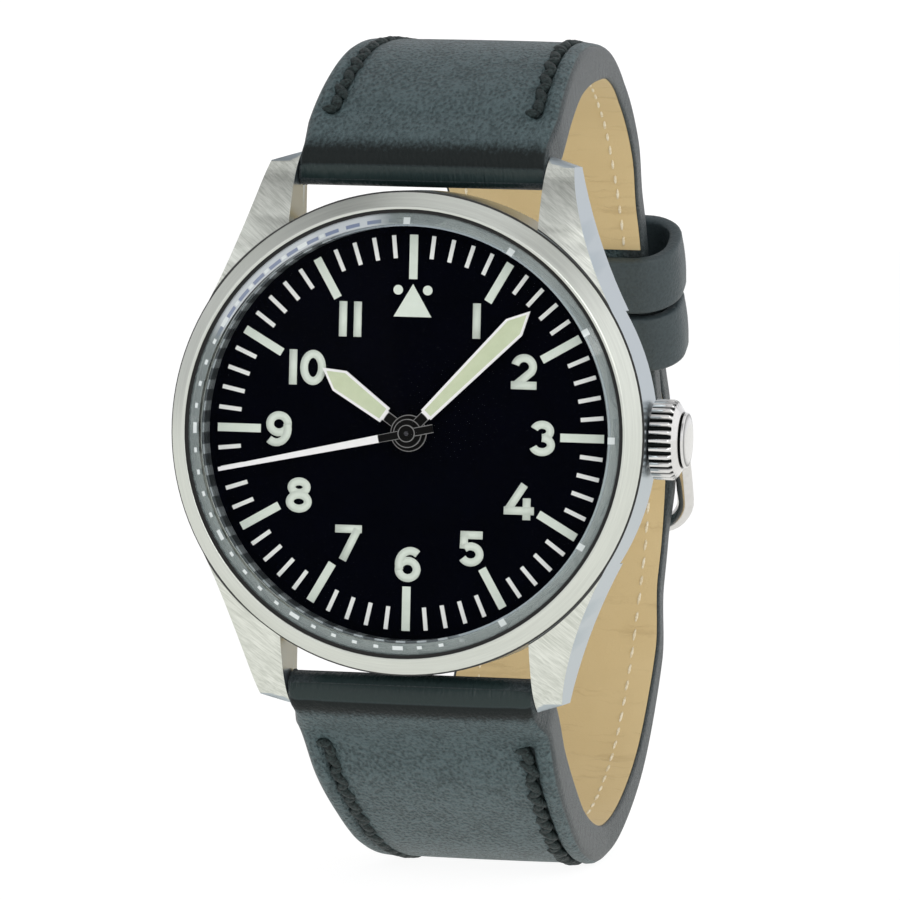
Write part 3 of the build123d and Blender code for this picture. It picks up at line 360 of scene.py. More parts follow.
broken_edges("mid_case", steel_case(), 0.08, angle=50)
broken_edges("bezel", brushed_steel("steel_bezel", 0.80, (0.965, 1, 0.925)), 0.05)
broken_edges("case_back", brushed_steel("steel_case_back", 0.6, (1, 1, 0.98)), 0.08)


# Crystal: a flat sapphire disc with a polished bevel all round, coated against reflections and pressed
# into the bezel. It's almost unseen in the middle; its bevel is a grey ring with painted reflections of
# the track's marks.
crystal_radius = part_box("crystal")[1].x / mm
bevel_width = 0.97
sapphire = Finish("sapphire", {"Roughness": 0.03, "IOR": 1.76, "Specular IOR Level": 0.6})
_, x, _, z = sapphire.place()
radius = from_axis(x, z)
rim = radius.ramp(crystal_radius - bevel_width - 0.03, crystal_radius - bevel_width)


def glints(x, z, step, half_length, inner, outer):
    """Painted reflections of the track's marks round the dial: every so many minutes, between two radii."""
    turns = x.math("ARCTAN2", x, z) * (30 / pi) / step
    spread = (turns - turns.math("ROUND", turns)).size() * step
    reach = from_axis(x, z)
    inside = reach.ramp(inner - 0.03, inner + 0.03) - reach.ramp(outer - 0.03, outer + 0.03)
    return inside * (1 - spread.ramp(half_length, half_length + 0.05))


def left_side(x, z):
    """1 on the dial's left, 0 on its right."""
    return 1 - (x + z * 0.35).ramp(-2.5, 0.5)


left = left_side(x, z)
near_minute, near_hour, far_hour, block = (18.34, 18.62), (18.30, 18.66), (18.10, 18.70), (18.28, 18.6)
# Painted reflections of the track's marks in the bevel: minutes and hours on the left, hours on the right.
glint = glints(x, z, 1, 0.09, *near_minute) * left + glints(x, z, 5, 0.13, *far_hour) * (1 - left) * 0.8
glint = glint + glints(x, z, 5, 0.22, *near_hour) * left * (1 - glint)
# A painted lit band at the bevel's upper left, with painted reflections of blue blocks between the minutes.
lit = ((z * 0.82 - x * 0.57) / radius).ramp(0.84, 0.92)
blocks = glints(x, z, 1, 0.5, *block) - glints(x, z, 1, 0.15, *block)
# The bevel's grey ring is a painted reflection that varies at random.
haze = sapphire.noise(sapphire.combine(x / radius * 3, radius * 3, z / radius * 3), 1.6, 3.0)
rim_colour = sapphire.blend(haze, (0.20, 0.25, 0.255, 1), (0.36, 0.43, 0.43, 1))
sky = sapphire.blend(blocks, (0.60, 0.65, 0.68, 1), (0.20, 0.25, 0.38, 1))
rim_colour = sapphire.blend(lit, rim_colour, sky)
sapphire.show(
    Base_Color=sapphire.blend(glint, rim_colour, (0.80, 0.86, 0.86, 1)),
    Alpha=rim * (lit * 0.35 + 0.55) + glint * (1 - lit) * 0.4 + 0.001,
)
dress(sapphire, "crystal")

# Seals: rings of black rubber, moulded and pushed into their seats round the crystal, under the rim of
# the case back and inside the crown. None shows when the watch is closed.
rubber = Finish("black_rubber", {"Specular IOR Level": 0.3})
vector, *_ = rubber.place()
specks = rubber.noise(vector, 9.0)
rubber.show(
    Base_Color=rubber.blend(specks, grey(0.008), grey(0.016)),
    Roughness=specks * 0.2 + 0.5,
    Normal=rubber.bump(specks, 0.01),
)
dress(rubber, "crystal_gasket", "back_gasket", "crown_gasket")

# Crown tube, spring bars and winding stem: turned steel, polished. The tube is pressed into the case,
# the bars spring into blind holes in the lugs and the buckle, and the stem is screwed into the crown.
polished = Finish("polished_steel", {"Metallic": 1.0})
vector, *_ = polished.place()
haze = polished.noise(vector, 2.2, 3.0)
polished.show(
    Base_Color=polished.blend(haze, (0.62, 0.66, 0.70, 1), (0.70, 0.73, 0.76, 1)),
    Roughness=haze * 0.06 + 0.05,
    Normal=polished.bump(haze, 0.0015),
)
dress(polished, "crown_tube", "spring_bar_upper", "spring_bar_lower")
dress(polished, "buckle_spring_bar", "winding_stem")

# Rehaut: a turned steel ring, satin, held between dial and bezel. It takes light from the crystal's
# bevel, and on its left side it carries a painted reflection of the minute track in blocks.
satin = Finish("satin_rehaut", {"Metallic": 0.7, "Specular IOR Level": 0.5})
_, x, y, z = satin.place()
turned_lines = satin.noise(satin.combine(x * 0.2, y * 9, z * 0.2), 1.5, 2.0)
# Painted reflection of the minute track on the left side: light blocks at the minutes, dark between them.
mirrored = glints(x, z, 1, 0.2, 0, 20)
plain_tone = satin.blend(turned_lines, (0.30, 0.36, 0.40, 1), (0.46, 0.52, 0.56, 1))
left_tone = satin.blend(mirrored, (0.13, 0.15, 0.16, 1), (0.52, 0.58, 0.60, 1))
satin.show(
    Base_Color=satin.blend(left_side(x, z), plain_tone, left_tone),
    Roughness=turned_lines * 0.12 + 0.22,
    Normal=satin.bump(turned_lines, 0.002),
)
dress(satin, "rehaut")

# Dial: a thin brass disc under matt black lacquer with a very fine grain. It lies on the movement,
# and the rehaut holds it down.
lacquer = Finish("dial_lacquer", {"Specular IOR Level": 0.01})
vector, *_ = lacquer.place()
grain = lacquer.noise(vector, 16.0, 2.0)
clouds = lacquer.noise(vector, 0.3, 2.0)
lacquer.show(
    Base_Color=lacquer.blend(clouds, (0.0001, 0.0003, 0.0014, 1), (0.0004, 0.0007, 0.0034, 1)),
    Roughness=grain * 0.2 + 0.5,
    Normal=lacquer.bump(grain, 0.004),
)
dress(lacquer, "dial")


# Marks on the dial: hour bars, triangle and dots in thick luminous paint, laid on in several coats, and
# a minute track printed in white.
def paint(name, shade, light, grain_depth):
    """A matt paint with a fine grain and soft unevenness."""
    finish = Finish(name, {"Specular IOR Level": 0.3})
    vector, *_ = finish.place()
    fine, soft = finish.noise(vector, 14.0, 2.0), finish.noise(vector, 1.2, 2.0)
    return finish.show(
        Base_Color=finish.blend(soft, shade, light),
        Roughness=fine * 0.15 + 0.55,
        Normal=finish.bump(fine, grain_depth),
    )


mint_paint = paint("mint_paint", (0.64, 0.715, 0.63, 1), (0.74, 0.81, 0.73, 1), 0.012)
dress(mint_paint, "hour_marks")
dress(paint("white_print", (0.78, 0.80, 0.77, 1), (0.88, 0.90, 0.87, 1), 0.004), "minute_track")

# Hour numbers: plain upright figures from 1 to 11 in strokes of one width, of the same luminous paint.
# A figure's lines lie a hair above one another where they cross.
figure_height, figure_stroke, figure_relief = 3.06 * mm, 0.69 * mm, 0.06 * mm
figure_pitches = {10: 1.78, 11: 1.3}
figure_lift, closing_gap = 0.004 * mm, figure_stroke / 10
number_places = {
    1: (5.7, 9.85),
    2: (9.98, 5.6),
    3: (11.7, -0.1),
    4: (9.8, -5.68),
    5: (5.65, -9.85),
    6: (0.06, -11.4),
    7: (-5.3, -9.68),
    8: (-9.78, -5.7),
    9: (-11.7, 0),
    10: (-9.65, 5.42),
    11: (-5.52, 9.72),
}
dial_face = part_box("dial")[0].y
top = (figure_height - figure_stroke) / 2 / mm
end = figure_height / 2 / mm
arc_step, fewest_steps = 12, 6


def bow(x, z, across, high, start, stop):
    """Points on an oval's arc, from one angle to another, counted from 3 o'clock."""
    steps = max(fewest_steps, int(abs(stop - start) / arc_step))
    angles = [radians(start + (stop - start) * step / steps) for step in range(steps + 1)]
    return [(x + across * cos(a), z + high * sin(a)) for a in angles]


figures = {
    "0": [bow(0, 0, 0.8, top, 0, 360)],
    "1": [[(0, -end), (0, end)]],
    "2": [bow(0, top - 0.76, 0.79, 0.76, 168, -36) + [(-0.74, -top)], [(-1.13, -top), (1.13, -top)]],
    "3": [bow(0, top - 0.57, 0.71, 0.57, 162, -90), bow(0, 0.615 - top, 0.81, 0.615, 90, -162)],
    "4": [[(0.68, -end), (0.68, 0.36)], [(0.46, end), (-0.96, -0.66)], [(-1.33, -0.74), (1.33, -0.74)]],
    "5": [[(1.0, top), (-0.96, top)], [(-0.62, top), (-0.66, 0)], bow(-0.03, 0.7 - top, 0.8, 0.7, 134, -152)],
    "6": [bow(0, 0.75 - top, 0.8, 0.75, 0, 360), bow(0.22, 0, 1.02, top, 204, 50)],
    "7": [[(-1.17, top), (1.2, top)], [(0.84, top), (-0.48, -end)]],
    "8": [bow(0, top - 0.5, 0.68, 0.5, 0, 360), bow(0, 0.61 - top, 0.81, 0.61, 0, 360)],
    "9": [bow(0, top - 0.75, 0.8, 0.75, 0, 360), bow(-0.22, 0, 1.02, top, 24, -130)],
}


def drawn_out(shape, edges):
    """Extrudes edges where they are. Gives back the new vertices, and the new edges at the far side."""
    grown = bmesh.ops.extrude_edge_only(shape, edges=edges)["geom"]
    fresh = [part for part in grown if isinstance(part, bmesh.types.BMVert)]
    return fresh, [part for part in grown if isinstance(part, bmesh.types.BMEdge) and part.is_boundary]


def stroke(shape, points, centre, lift):
    """Draws one line of a figure, as a low wall with the stroke's width."""
    foot = dial_face - lift
    low = [shape.verts.new((centre[0] + x * mm, foot, centre[1] + z * mm)) for x, z in points]
    closed = (low[0].co - low[-1].co).length < closing_gap
    if closed:
        shape.verts.remove(low.pop())
    pairs = [*pairwise(low), (low[-1], low[0])] if closed else [*pairwise(low)]
    line = [shape.edges.new(pair) for pair in pairs]
    upper, _ = drawn_out(shape, line)
    bmesh.ops.translate(shape, vec=(0, -figure_relief, 0), verts=upper)


numbers = bmesh.new()
for hour, (right, high) in number_places.items():
    text = str(hour)
    for index, figure in enumerate(text):
        shift = (index - (len(text) - 1) / 2) * figure_pitches.get(hour, 0)
        middle = ((right + shift) * mm, high * mm)
        for layer, points in enumerate(figures[figure]):
            stroke(numbers, points, middle, layer * figure_lift)
number_piece = finished(numbers, "hour_numbers", "case", mint_paint)
thickened = number_piece.modifiers.new("stroke", "SOLIDIFY")
thickened.thickness, thickened.offset = figure_stroke, 0
thickened.use_even_offset = True


# Hands: sword blades of lacquered brass with white borders and black shanks, filled with lume.
# The second hand is a white needle whose inner end and counterweight are black.
def hand_lacquer(name, white_from, clock_angle, hub, half_shank):
    """White beyond a distance from the axis, black within it, with painted highlights along the shank's edges
    and round the hub.
    """
    finish = Finish(name, {"Specular IOR Level": 0.08})
    vector, x, _, z = finish.place()
    reach = from_axis(x, z)
    turn = radians(clock_angle)
    side = (x * cos(turn) - z * sin(turn)).size()
    # Painted highlights: thin light lines along the black shank's sides and round the hub's rim.
    shank_highlight = side.ramp(half_shank - 0.07, half_shank - 0.03) * reach.ramp(hub, hub + 0.1)
    hub_highlight = reach.ramp(hub - 0.09, hub - 0.05) * (1 - reach.ramp(hub, hub + 0.02))
    soft = finish.noise(vector, 2.0)
    white = finish.blend(soft, grey(0.82), grey(0.90))
    black = finish.blend((shank_highlight + hub_highlight) * 0.85, grey(0.0015), grey(0.26))
    return finish.show(
        Base_Color=finish.blend(reach.ramp(white_from - 0.05, white_from + 0.05), black, white),
        Roughness=soft * 0.12 + 0.35,
        Normal=finish.bump(soft, 0.002),
    )


dress(hand_lacquer("hour_hand_lacquer", 2.5, -55, 1.6, 0.45), "hour_hand")
dress(hand_lacquer("minute_hand_lacquer", 2.2, 44.4, 1.25, 0.45), "minute_hand")
dress(hand_lacquer("second_hand_lacquer", 2.55, -102.2, 0.75, 0.36), "second_hand")
hand_lume = paint("hand_lume", (0.53, 0.60, 0.40, 1), (0.62, 0.69, 0.49, 1), 0.03)
dress(hand_lume, "hour_hand_lume", "minute_hand_lume")


# Movement: plated brass plates and bridges, brass wheels, steel pinions and rotor, a plastic ring.
# It's hidden behind the dial and shows only when the watch is taken apart.
def metal(name, dark, light, rough, depth, rate=5.0):
    """A metal with a turned or grained surface."""
    finish = Finish(name, {"Metallic": 1.0})
    _, x, y, z = finish.place()
    fine = finish.noise(finish.combine(x * 0.4, y, z * 3), rate, 3.0)
    return finish.show(
        Base_Color=finish.blend(fine, dark, light),
        Roughness=fine * 0.15 + rough,
        Normal=finish.bump(fine, depth),
    )


def pearled(name, dark, light):
    """A plate ground with overlapping round spots."""
    finish = Finish(name, {"Metallic": 1.0})
    vector, *_ = finish.place()
    spots = finish.cells(vector, 0.9)
    rings = (spots * 28).math("SINE", spots * 28) * 0.5 + 0.5
    return finish.show(
        Base_Color=finish.blend(spots, dark, light),
        Roughness=rings * 0.12 + 0.22,
        Normal=finish.bump(rings, 0.004),
    )


dress(pearled("pearled_plate", grey(0.50), grey(0.66)), "main_plate", "barrel_bridge", "train_bridge")
dress(pearled("pearled_cock", grey(0.52), grey(0.68)), "balance_cock", "rotor_bearing")
brass = metal("wheel_brass", (0.62, 0.44, 0.18, 1), (0.76, 0.57, 0.26, 1), 0.22, 0.004)
dress(brass, "centre_wheel", "third_wheel", "mainspring_barrel", "balance_wheel", "minute_wheel")
blued = metal("arbor_steel", (0.03, 0.03, 0.035, 1), (0.09, 0.09, 0.10, 1), 0.2, 0.002)
dress(blued, "fourth_wheel", "hour_wheel", "cannon_pinion")
dress(metal("wheel_steel", grey(0.42), grey(0.56), 0.18, 0.003), "escape_wheel", "winding_pinion")
dress(metal("rotor_steel", grey(0.40), grey(0.58), 0.25, 0.006, 3.0), "rotor")
dress(paint("ring_plastic", grey(0.35), grey(0.42), 0.01), "movement_ring")

# Crown: turned steel with 28 milled flutes, a cone and a domed cap, polished all over.
# It is screwed to the stem. Painted shade darkens its grooves, the neck before its cap and the shoulder of
# its dome, and a painted dark reflection lies on its outward facets that face up or down.
crown_steel = Finish("crown_steel", {"Metallic": 1.0})
vector, *_ = crown_steel.place()
haze = crown_steel.noise(vector, 3.0, 3.0)
# The groove attribute darkens the colour: painted shade in the flutes' grooves, the neck and the dome's
# shoulder.
groove = crown_steel.attribute("groove").ramp(0.12, 0.75)
# Painted dark reflection on outward facets that face up or down.
dark_facet_reflection = crown_steel.facing(2).size().ramp(0.5, 0.72) * crown_steel.facing(0).ramp(0.35, 0.5)
bright = crown_steel.blend(haze, grey(0.72, 0.01), grey(0.86, 0.01))
bright = crown_steel.blend(dark_facet_reflection * 0.8, bright, (0.05, 0.06, 0.055, 1))
crown_steel.show(
    Base_Color=crown_steel.blend(groove, bright, (0.012, 0.014, 0.014, 1)),
    Roughness=haze * 0.06 + groove * 0.3 + 0.1,
    Normal=crown_steel.bump(haze, 0.003),
)
crown_low, crown_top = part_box("crown")
crown_middle = (crown_low + crown_top) / 2
crown_radius, crown_reach = (crown_top.z - crown_low.z) / 2, crown_top.x - crown_low.x
ridges = 28
ridge_shares = (1.0, 0.95, 0.62, 0.08, 0.0, 0.08, 0.62, 0.95)
# Rings of the crown: shares of its length, of its radius, of its radius for a groove's depth, and painted
# shade
crown_ring_shares = [
    (-0.05, 0.955, 0.07, 0),
    (-0.02, 1.0, 0.115, 0),
    (0.52, 1.0, 0.115, 0),
    (0.575, 0.985, 0.1, 0),
    (0.625, 0.94, 0.04, 0),
    (0.645, 0.92, 0, 0),
    (0.79, 0.735, 0, 0),
    (0.8, 0.7, 0, 0.5),
    (0.803, 0.6, 0, 1),
    (0.85, 0.6, 0, 1),
    (0.853, 0.665, 0, 0.7),
    (0.87, 0.69, 0, 0),
    (0.925, 0.685, 0, 0),
    (0.95, 0.64, 0, 0.55),
    (0.975, 0.52, 0, 0.2),
    (0.992, 0.34, 0, 0),
    (1.0, 0.12, 0, 0),
]
around = ridges * len(ridge_shares)


def drawn_along(shape, places):
    """Extrudes a closed outline from place to place. Gives back each place's vertices, and the last edges."""
    front, fresh, at, rows = shape.edges[:], shape.verts[:], Matrix.Identity(4), []
    for to in places:
        if rows:
            fresh, front = drawn_out(shape, front)
        bmesh.ops.transform(shape, matrix=to @ at.inverted(), verts=fresh)
        at = to
        rows.append(fresh)
    return rows, front


shape = bmesh.new()
groove_layer = shape.verts.layers.float.new("groove")
bmesh.ops.create_circle(shape, segments=around, radius=crown_radius)
outline = shape.edges[:]
places = []
for along, wide, *_ in crown_ring_shares:
    places.append(Matrix.Translation((0, 0, along * crown_reach)) @ Matrix.Diagonal((wide, wide, 1, 1)))
rings, front = drawn_along(shape, places)
for (along, wide, depth, painted_ring_shade), ring in zip(crown_ring_shares, rings):
    for phase, ridge in enumerate(ridge_shares):
        sunk = [v for v in ring if round(atan2(v.co.y, v.co.x) / tau * around) % len(ridge_shares) == phase]
        share = 1 - depth * (1 - ridge) / wide
        bmesh.ops.scale(shape, vec=(share, share, 1), verts=sunk)
        for vert in sunk:
            vert[groove_layer] = (1 - ridge) if depth else painted_ring_shade
bmesh.ops.contextual_create(shape, geom=outline)
bmesh.ops.contextual_create(shape, geom=front)
to_stem = Matrix.Translation((crown_low.x, crown_middle.y, crown_middle.z)) @ Matrix.Rotation(pi / 2, 4, "Y")
bmesh.ops.transform(shape, matrix=to_stem, verts=shape.verts[:])
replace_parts(finished(shape, "crown_turned", "crown", crown_steel, 44), "crown")

# Buckle: a frame of thick steel wire, bent to a bow with a flat eye at each end, and its tongue, both
# polished. They turn on a spring bar that the short strap piece is rolled round.
buckle_steel = Finish("buckle_steel", {"Metallic": 1.0})
vector, *_ = buckle_steel.place()
haze = buckle_steel.noise(vector, 1.6, 4.0)
scratches = buckle_steel.noise(vector, 11.0, 3.0)
buckle_steel.show(
    Base_Color=buckle_steel.blend(haze, grey(0.66, 0.015), grey(0.78, 0.015)),
    Roughness=haze * 0.08 + scratches * 0.05 + 0.1,
    Normal=buckle_steel.bump(scratches, 0.002),
)
broken_edges("buckle_tongue", buckle_steel, 0.22, 3, 40)
buckle_bar = sum(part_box("buckle_spring_bar"), Vector()) / 2
closure_slant = radians(60)
up_strap = Vector((0, -cos(closure_slant), sin(closure_slant)))
outward = Vector((0, sin(closure_slant), cos(closure_slant)))
closure = Matrix((Vector((1, 0, 0)), up_strap, outward)).transposed().to_4x4()
closure.translation = buckle_bar
wire_radius, wire_lift, wire_sag = 0.8 * mm, 4.3, 3.6
arm_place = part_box("buckle_frame")[1].x - wire_radius
bow_reach, wire_corner, corner_steps = 11.6 * mm, 2.6 * mm, 8
eye_radius, eye_bore, eye_edging = 1.35 * mm, 0.45 * mm, 0.35 * mm


def neighbours(points):
    """Each point between the one before it and the one after it."""
    return zip([points[0], *points[:-1]], points, [*points[1:], points[-1]])


def wire_rise(reach):
    """How far the bent wire stands out from the strap's middle line, from its eyes to its bow."""
    share = reach / bow_reach
    return (wire_lift * share - wire_sag * share**2) * mm


half_wire = [(arm_place, (bow_reach - wire_corner) * step / corner_steps) for step in range(corner_steps)]
for step in range(corner_steps + 1):
    turn = pi / 2 * step / corner_steps
    out, down = wire_corner * cos(turn), wire_corner * sin(turn)
    half_wire.append((arm_place - wire_corner + out, bow_reach - wire_corner + down))
half_wire.append(((arm_place - wire_corner) / 2, bow_reach))
wire_way = half_wire + [(-right, reach) for right, reach in reversed(half_wire)]
wire_line = [Vector((right, -reach, wire_rise(reach))) for right, reach in wire_way]
shape = bmesh.new()
bmesh.ops.create_circle(shape, segments=16, radius=wire_radius)
places = []
for before, spot, after in neighbours(wire_line):
    ahead = (after - before).normalized()
    across = ahead.cross(Vector((0, 0, 1))).normalized()
    places.append(Matrix((across, ahead.cross(across), ahead)).transposed().to_4x4())
    places[-1].translation = spot
drawn_along(shape, places)
for sign in (-1, 1):
    eye_ring = bmesh.ops.create_circle(shape, segments=32, radius=eye_bore)["verts"]
    bore = [edge for edge in shape.edges if edge.verts[0] in eye_ring and edge.verts[1] in eye_ring]
    rim_verts, _ = drawn_out(shape, bore)
    rim_faces = [face for edge in bore for face in edge.link_faces]
    bmesh.ops.scale(shape, vec=(eye_radius / eye_bore, eye_radius / eye_bore, 1), verts=rim_verts)
    walls = bmesh.ops.solidify(shape, geom=rim_faces, thickness=2 * wire_radius)["geom"]
    eye_faces = [part for part in [*rim_faces, *walls] if isinstance(part, bmesh.types.BMFace)]
    around_eye = {v for face in eye_faces for v in face.verts}
    hard = [e for e in shape.edges if {*e.verts} <= around_eye and e.calc_face_angle(0) > 1]
    hard = [e for e in hard if (e.verts[0].co.xy.length + e.verts[1].co.xy.length) / 2 > 2 * eye_bore]
    middle_height = sum(v.co.z for v in around_eye) / len(around_eye)
    rounded = bmesh.ops.bevel(
        shape, geom=hard, offset=eye_edging, segments=3, profile=0.5, affect="EDGES", material=-1
    )["verts"]
    around_eye = {v for v in around_eye if v.is_valid} | set(rounded)
    sideways = Matrix.Translation((sign * arm_place, 0, 0)) @ Matrix.Rotation(pi / 2, 4, "Y")
    sideways = sideways @ Matrix.Translation((0, 0, -middle_height))
    bmesh.ops.transform(shape, matrix=sideways, verts=list(around_eye))
bmesh.ops.transform(shape, matrix=closure, verts=shape.verts[:])
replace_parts(finished(shape, "buckle_wire", "buckle_frame", buckle_steel, 40), "buckle_frame")


# Strap: two padded leather pieces. Each wraps a spring bar at the lugs, is lined with tan leather,
# has painted edges and narrows to the buckle, where the long piece lies over the short one.
bar_upper = sum(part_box("spring_bar_upper"), Vector()) / 2
bar_lower = sum(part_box("spring_bar_lower"), Vector()) / 2
loop_depth = buckle_bar.y + 2.8 * mm
loop_over_bar, loop_under_bar = 11 * mm, 17 * mm
strap_thickness, end_thickness, tail_thickness = 4.2 * mm, 2.6 * mm, 2.4 * mm
wide_half, narrow_half = 11 * mm, 9 * mm
taper_start, taper_end = -3 * mm, 35 * mm
roll_radius, buckle_roll_radius, thinnest = 1.9 * mm, 1.9 * mm, 0.08 * mm
closure_length, buckle_length = 23.2 * mm, 11.6 * mm
tail_length, tail_straight, tail_round = 12.9 * mm, 6.5 * mm, 5 * mm
tail_out = end_thickness / 2 + 0.15 * mm + tail_thickness / 2
upper_route_shares = [
    (0.012, 0.283, 0.95),
    (0.075, 0.520, 1.0),
    (0.160, 0.735, 1.0),
    (0.252, 0.838, 0.93),
    (0.356, 0.868, 0.78),
    (0.434, 0.855, 0.68),
    (0.524, 0.737, 0.62),
    (0.605, 0.518, 0.62),
    (0.671, 0.218, 0.62),
]
lower_route_shares = [
    (0.035, 0.153, 0.93),
    (0.115, 0.400, 1.0),
    (0.215, 0.615, 1.0),
    (0.322, 0.797, 0.95),
    (0.450, 0.908, 0.86),
    (0.556, 0.923, 0.79),
    (0.652, 0.852, 0.79),
    (0.755, 0.682, 0.76),
    (0.829, 0.482, 0.74),
    (0.905, 0.153, 0.70),
    (0.955, -0.165, 0.66),
]
passing_shares = [(-1.07, -0.33), (-0.845, -0.095), (-0.6, 0.095), (-0.3, 0.24), (0, 0.293), (0.345, 0.245)]


def closure_point(along, out, thickness):
    """A point of the middle line, from its place in the buckle's frame: up the strap and outwards."""
    spot = buckle_bar + up_strap * along + outward * out
    return Vector((thickness, spot.y, spot.z))


def smooth_line(points, spacing):
    """Even steps along a smooth curve through points of (thickness, depth, height)."""
    leans = [(after - before).normalized() for before, _, after in neighbours(points)]
    found = []
    for (start, stop), (lean, next_lean) in zip(pairwise(points), pairwise(leans)):
        third = (stop - start).length / 3
        count = max(2, round(3 * third / spacing)) + 1
        found += interpolate_bezier(start, start + lean * third, stop - next_lean * third, stop, count)[:-1]
    return [*found, points[-1]]


def nose(radius, run):
    """Half the thickness of a roll round a bar, at a run length from the bar's axis."""
    return max(sqrt(max(radius**2 - run**2, 0)), thinnest)


def half_width(depth):
    share = (depth - taper_start) / (taper_end - taper_start)
    return wide_half + (narrow_half - wide_half) * min(max(share, 0), 1)


def stations_of(line, side):
    """Along a middle line: the run from the lugs' bar, the centre, the frame's axes and half the sizes."""
    found, run = [], 0.0
    for before, point, after in neighbours(line):
        ahead = Vector((0, after.y - before.y, after.z - before.z)).normalized()
        centre = Vector((0, *point.yz))
        if found:
            run += (centre - found[-1]["centre"]).length
        out = Vector((side, 0, 0)).cross(ahead)
        sizes = {"wide": half_width(point.y), "thick": point.x / 2}
        found.append({"run": run, "centre": centre, "ahead": ahead, "out": out, "side": side, **sizes})
    return found


shortest_step = 1e-9


def frame_at(stations, run):
    """The station at a run length, between two stations where need be."""
    for before, after in pairwise(stations):
        if after["run"] >= run:
            break
    share = (run - before["run"]) / max(after["run"] - before["run"], shortest_step)
    mixed = {key: before[key] + (after[key] - before[key]) * share for key in before if key != "side"}
    return {**mixed, "side": before["side"]}


def placement(station, wide=None, thick=None):
    """The matrix that puts a strap profile at a station."""
    across = Vector((station["side"], 0, 0)) * (station["wide"] if wide is None else wide)
    through = station["out"] * (station["thick"] if thick is None else thick)
    made = Matrix((across, station["ahead"], through)).transposed().to_4x4()
    made.translation = station["centre"]
    return made


def padded_line(bar, shares, reach):
    """The middle line of a piece's padded part, which goes up or down from its bar as far as it reaches."""
    line = [Vector((end_thickness, bar.y, bar.z))]
    for depth, high, thick in shares:
        line.append(Vector((strap_thickness * thick, loop_depth * depth, bar.z + reach * high)))
    return line


spacing = 0.8 * mm
upper_line = padded_line(bar_upper, upper_route_shares, loop_over_bar)
upper_line += [closure_point(closure_length * share, 0, end_thickness) for share in (1, 0.7, 0)]
lower_line = padded_line(bar_lower, lower_route_shares, -loop_under_bar)
for along, out in passing_shares:
    lower_line.append(closure_point(buckle_length * along, buckle_length * out, tail_thickness))
lower_line += [closure_point(along, tail_out, tail_thickness) for along in (tail_straight, tail_length)]
upper_stations = stations_of(smooth_line(upper_line, spacing), 1)
lower_stations = stations_of(smooth_line(lower_line, spacing), -1)
upper_end, lower_end = upper_stations[-1]["run"], lower_stations[-1]["run"]

# How the padding starts next to the roll, in mm: the run from the bar, and half the thickness.
# The short piece has a sharp crease there, the long one runs out smoothly.
creased = [(-1.42, 1.2), (-1.3, 1.08), (-1.12, 1.3), (-0.85, 1.66)]
creased += [(-0.4, 1.98), (0.2, 2.14), (1.0, 2.22), (4.0, 2.1)]
smooth = [(0, 1.9), (0.6, 1.93), (1.2, 1.97), (2.0, 2.02), (3.0, 2.05), (4.0, 2.04)]
nose_shares = [-1.0, -0.985, -0.94, -0.85, -0.7, -0.5, -0.3, -0.12]
buckle_nose_shares = [-0.72, -0.5, -0.25, 0, *(-share for share in reversed(nose_shares))]
tip_shares = [1, 0.85, 0.7, 0.55, 0.4, 0.27, 0.16, 0.08, 0.03, 0.006]


def beyond(station, step):
    """A station that goes straight on past another one."""
    return {**station, "run": station["run"] + step, "centre": station["centre"] + station["ahead"] * step}


def strap_rings(stations, padding, roll_at_end):
    """The stations of a whole strap piece, with its roll at the lugs and its roll or tip at the buckle."""
    start, last = stations[0], stations[-1]
    rings = []
    for share in nose_shares:
        run = share * roll_radius
        if run < padding[0][0] * mm:
            rings.append({**beyond(start, run), "thick": nose(roll_radius, run)})
    for run, thick in padding:
        rings.append({**frame_at(stations, run * mm), "thick": thick * mm})
    start_run = padding[-1][0] * mm + spacing / 2
    stop_run = last["run"] - (buckle_roll_radius if roll_at_end else tail_round)
    rings += [s for s in stations if start_run < s["run"] < stop_run]
    if roll_at_end:
        for share in buckle_nose_shares:
            run = share * buckle_roll_radius
            thick = nose(buckle_roll_radius, run)
            rings.append({**beyond(last, run), "thick": max(thick, last["thick"]) if run < 0 else thick})
    else:
        round_radius = (narrow_half**2 + tail_round**2) / (2 * tail_round)
        for share in tip_shares:
            back = share * tail_round
            wide = sqrt(round_radius**2 - (round_radius - back) ** 2)
            rings.append({**beyond(last, -back), "wide": wide})
    return sorted(rings, key=lambda ring: ring["run"])


# Half of the leather's section, from the middle of its outer face to the middle of its inner face:
# shares of half the width and half the thickness, and how far it belongs to the channel and to the edge
leather_section = [
    (0, 1, 0, 0),
    (0.25, 0.998, 0, 0),
    (0.5, 0.99, 0, 0),
    (0.70, 0.975, 0, 0),
    (0.75, 0.955, 0.2, 0),
    (0.78, 0.945, 0.85, 0),
    (0.81, 0.94, 1.25, 0),
    (0.84, 0.94, 0.9, 0),
    (0.866, 0.95, 0.1, 0),
    (0.90, 0.965, -0.12, 0),
    (0.94, 0.945, -0.1, 0),
    (0.969, 0.87, 0, 0.2),
    (0.988, 0.76, 0, 0.8),
    (0.998, 0.62, 0, 1),
    (1, 0.45, 0, 1),
    (1, -0.1, 0, 1),
    (1, -0.7, 0, 1),
    (0.996, -0.88, 0, 1),
    (0.985, -0.98, 0, 1),
    (0.975, -1, 0, 1),
    (0.972, -0.93, 0, 1),
    (0.6, -0.93, 0, 0),
    (0, -0.93, 0, 0),
]
lining_corners = [(0, -0.93), (0.968, -0.93), (0.968, -1.0), (0.955, -1.035), (0, -1.035)]
lining_section = [(across, through, 0, 0) for across, through in lining_corners]
channel_depth, mirror_weld = 0.4 * mm, 1e-5


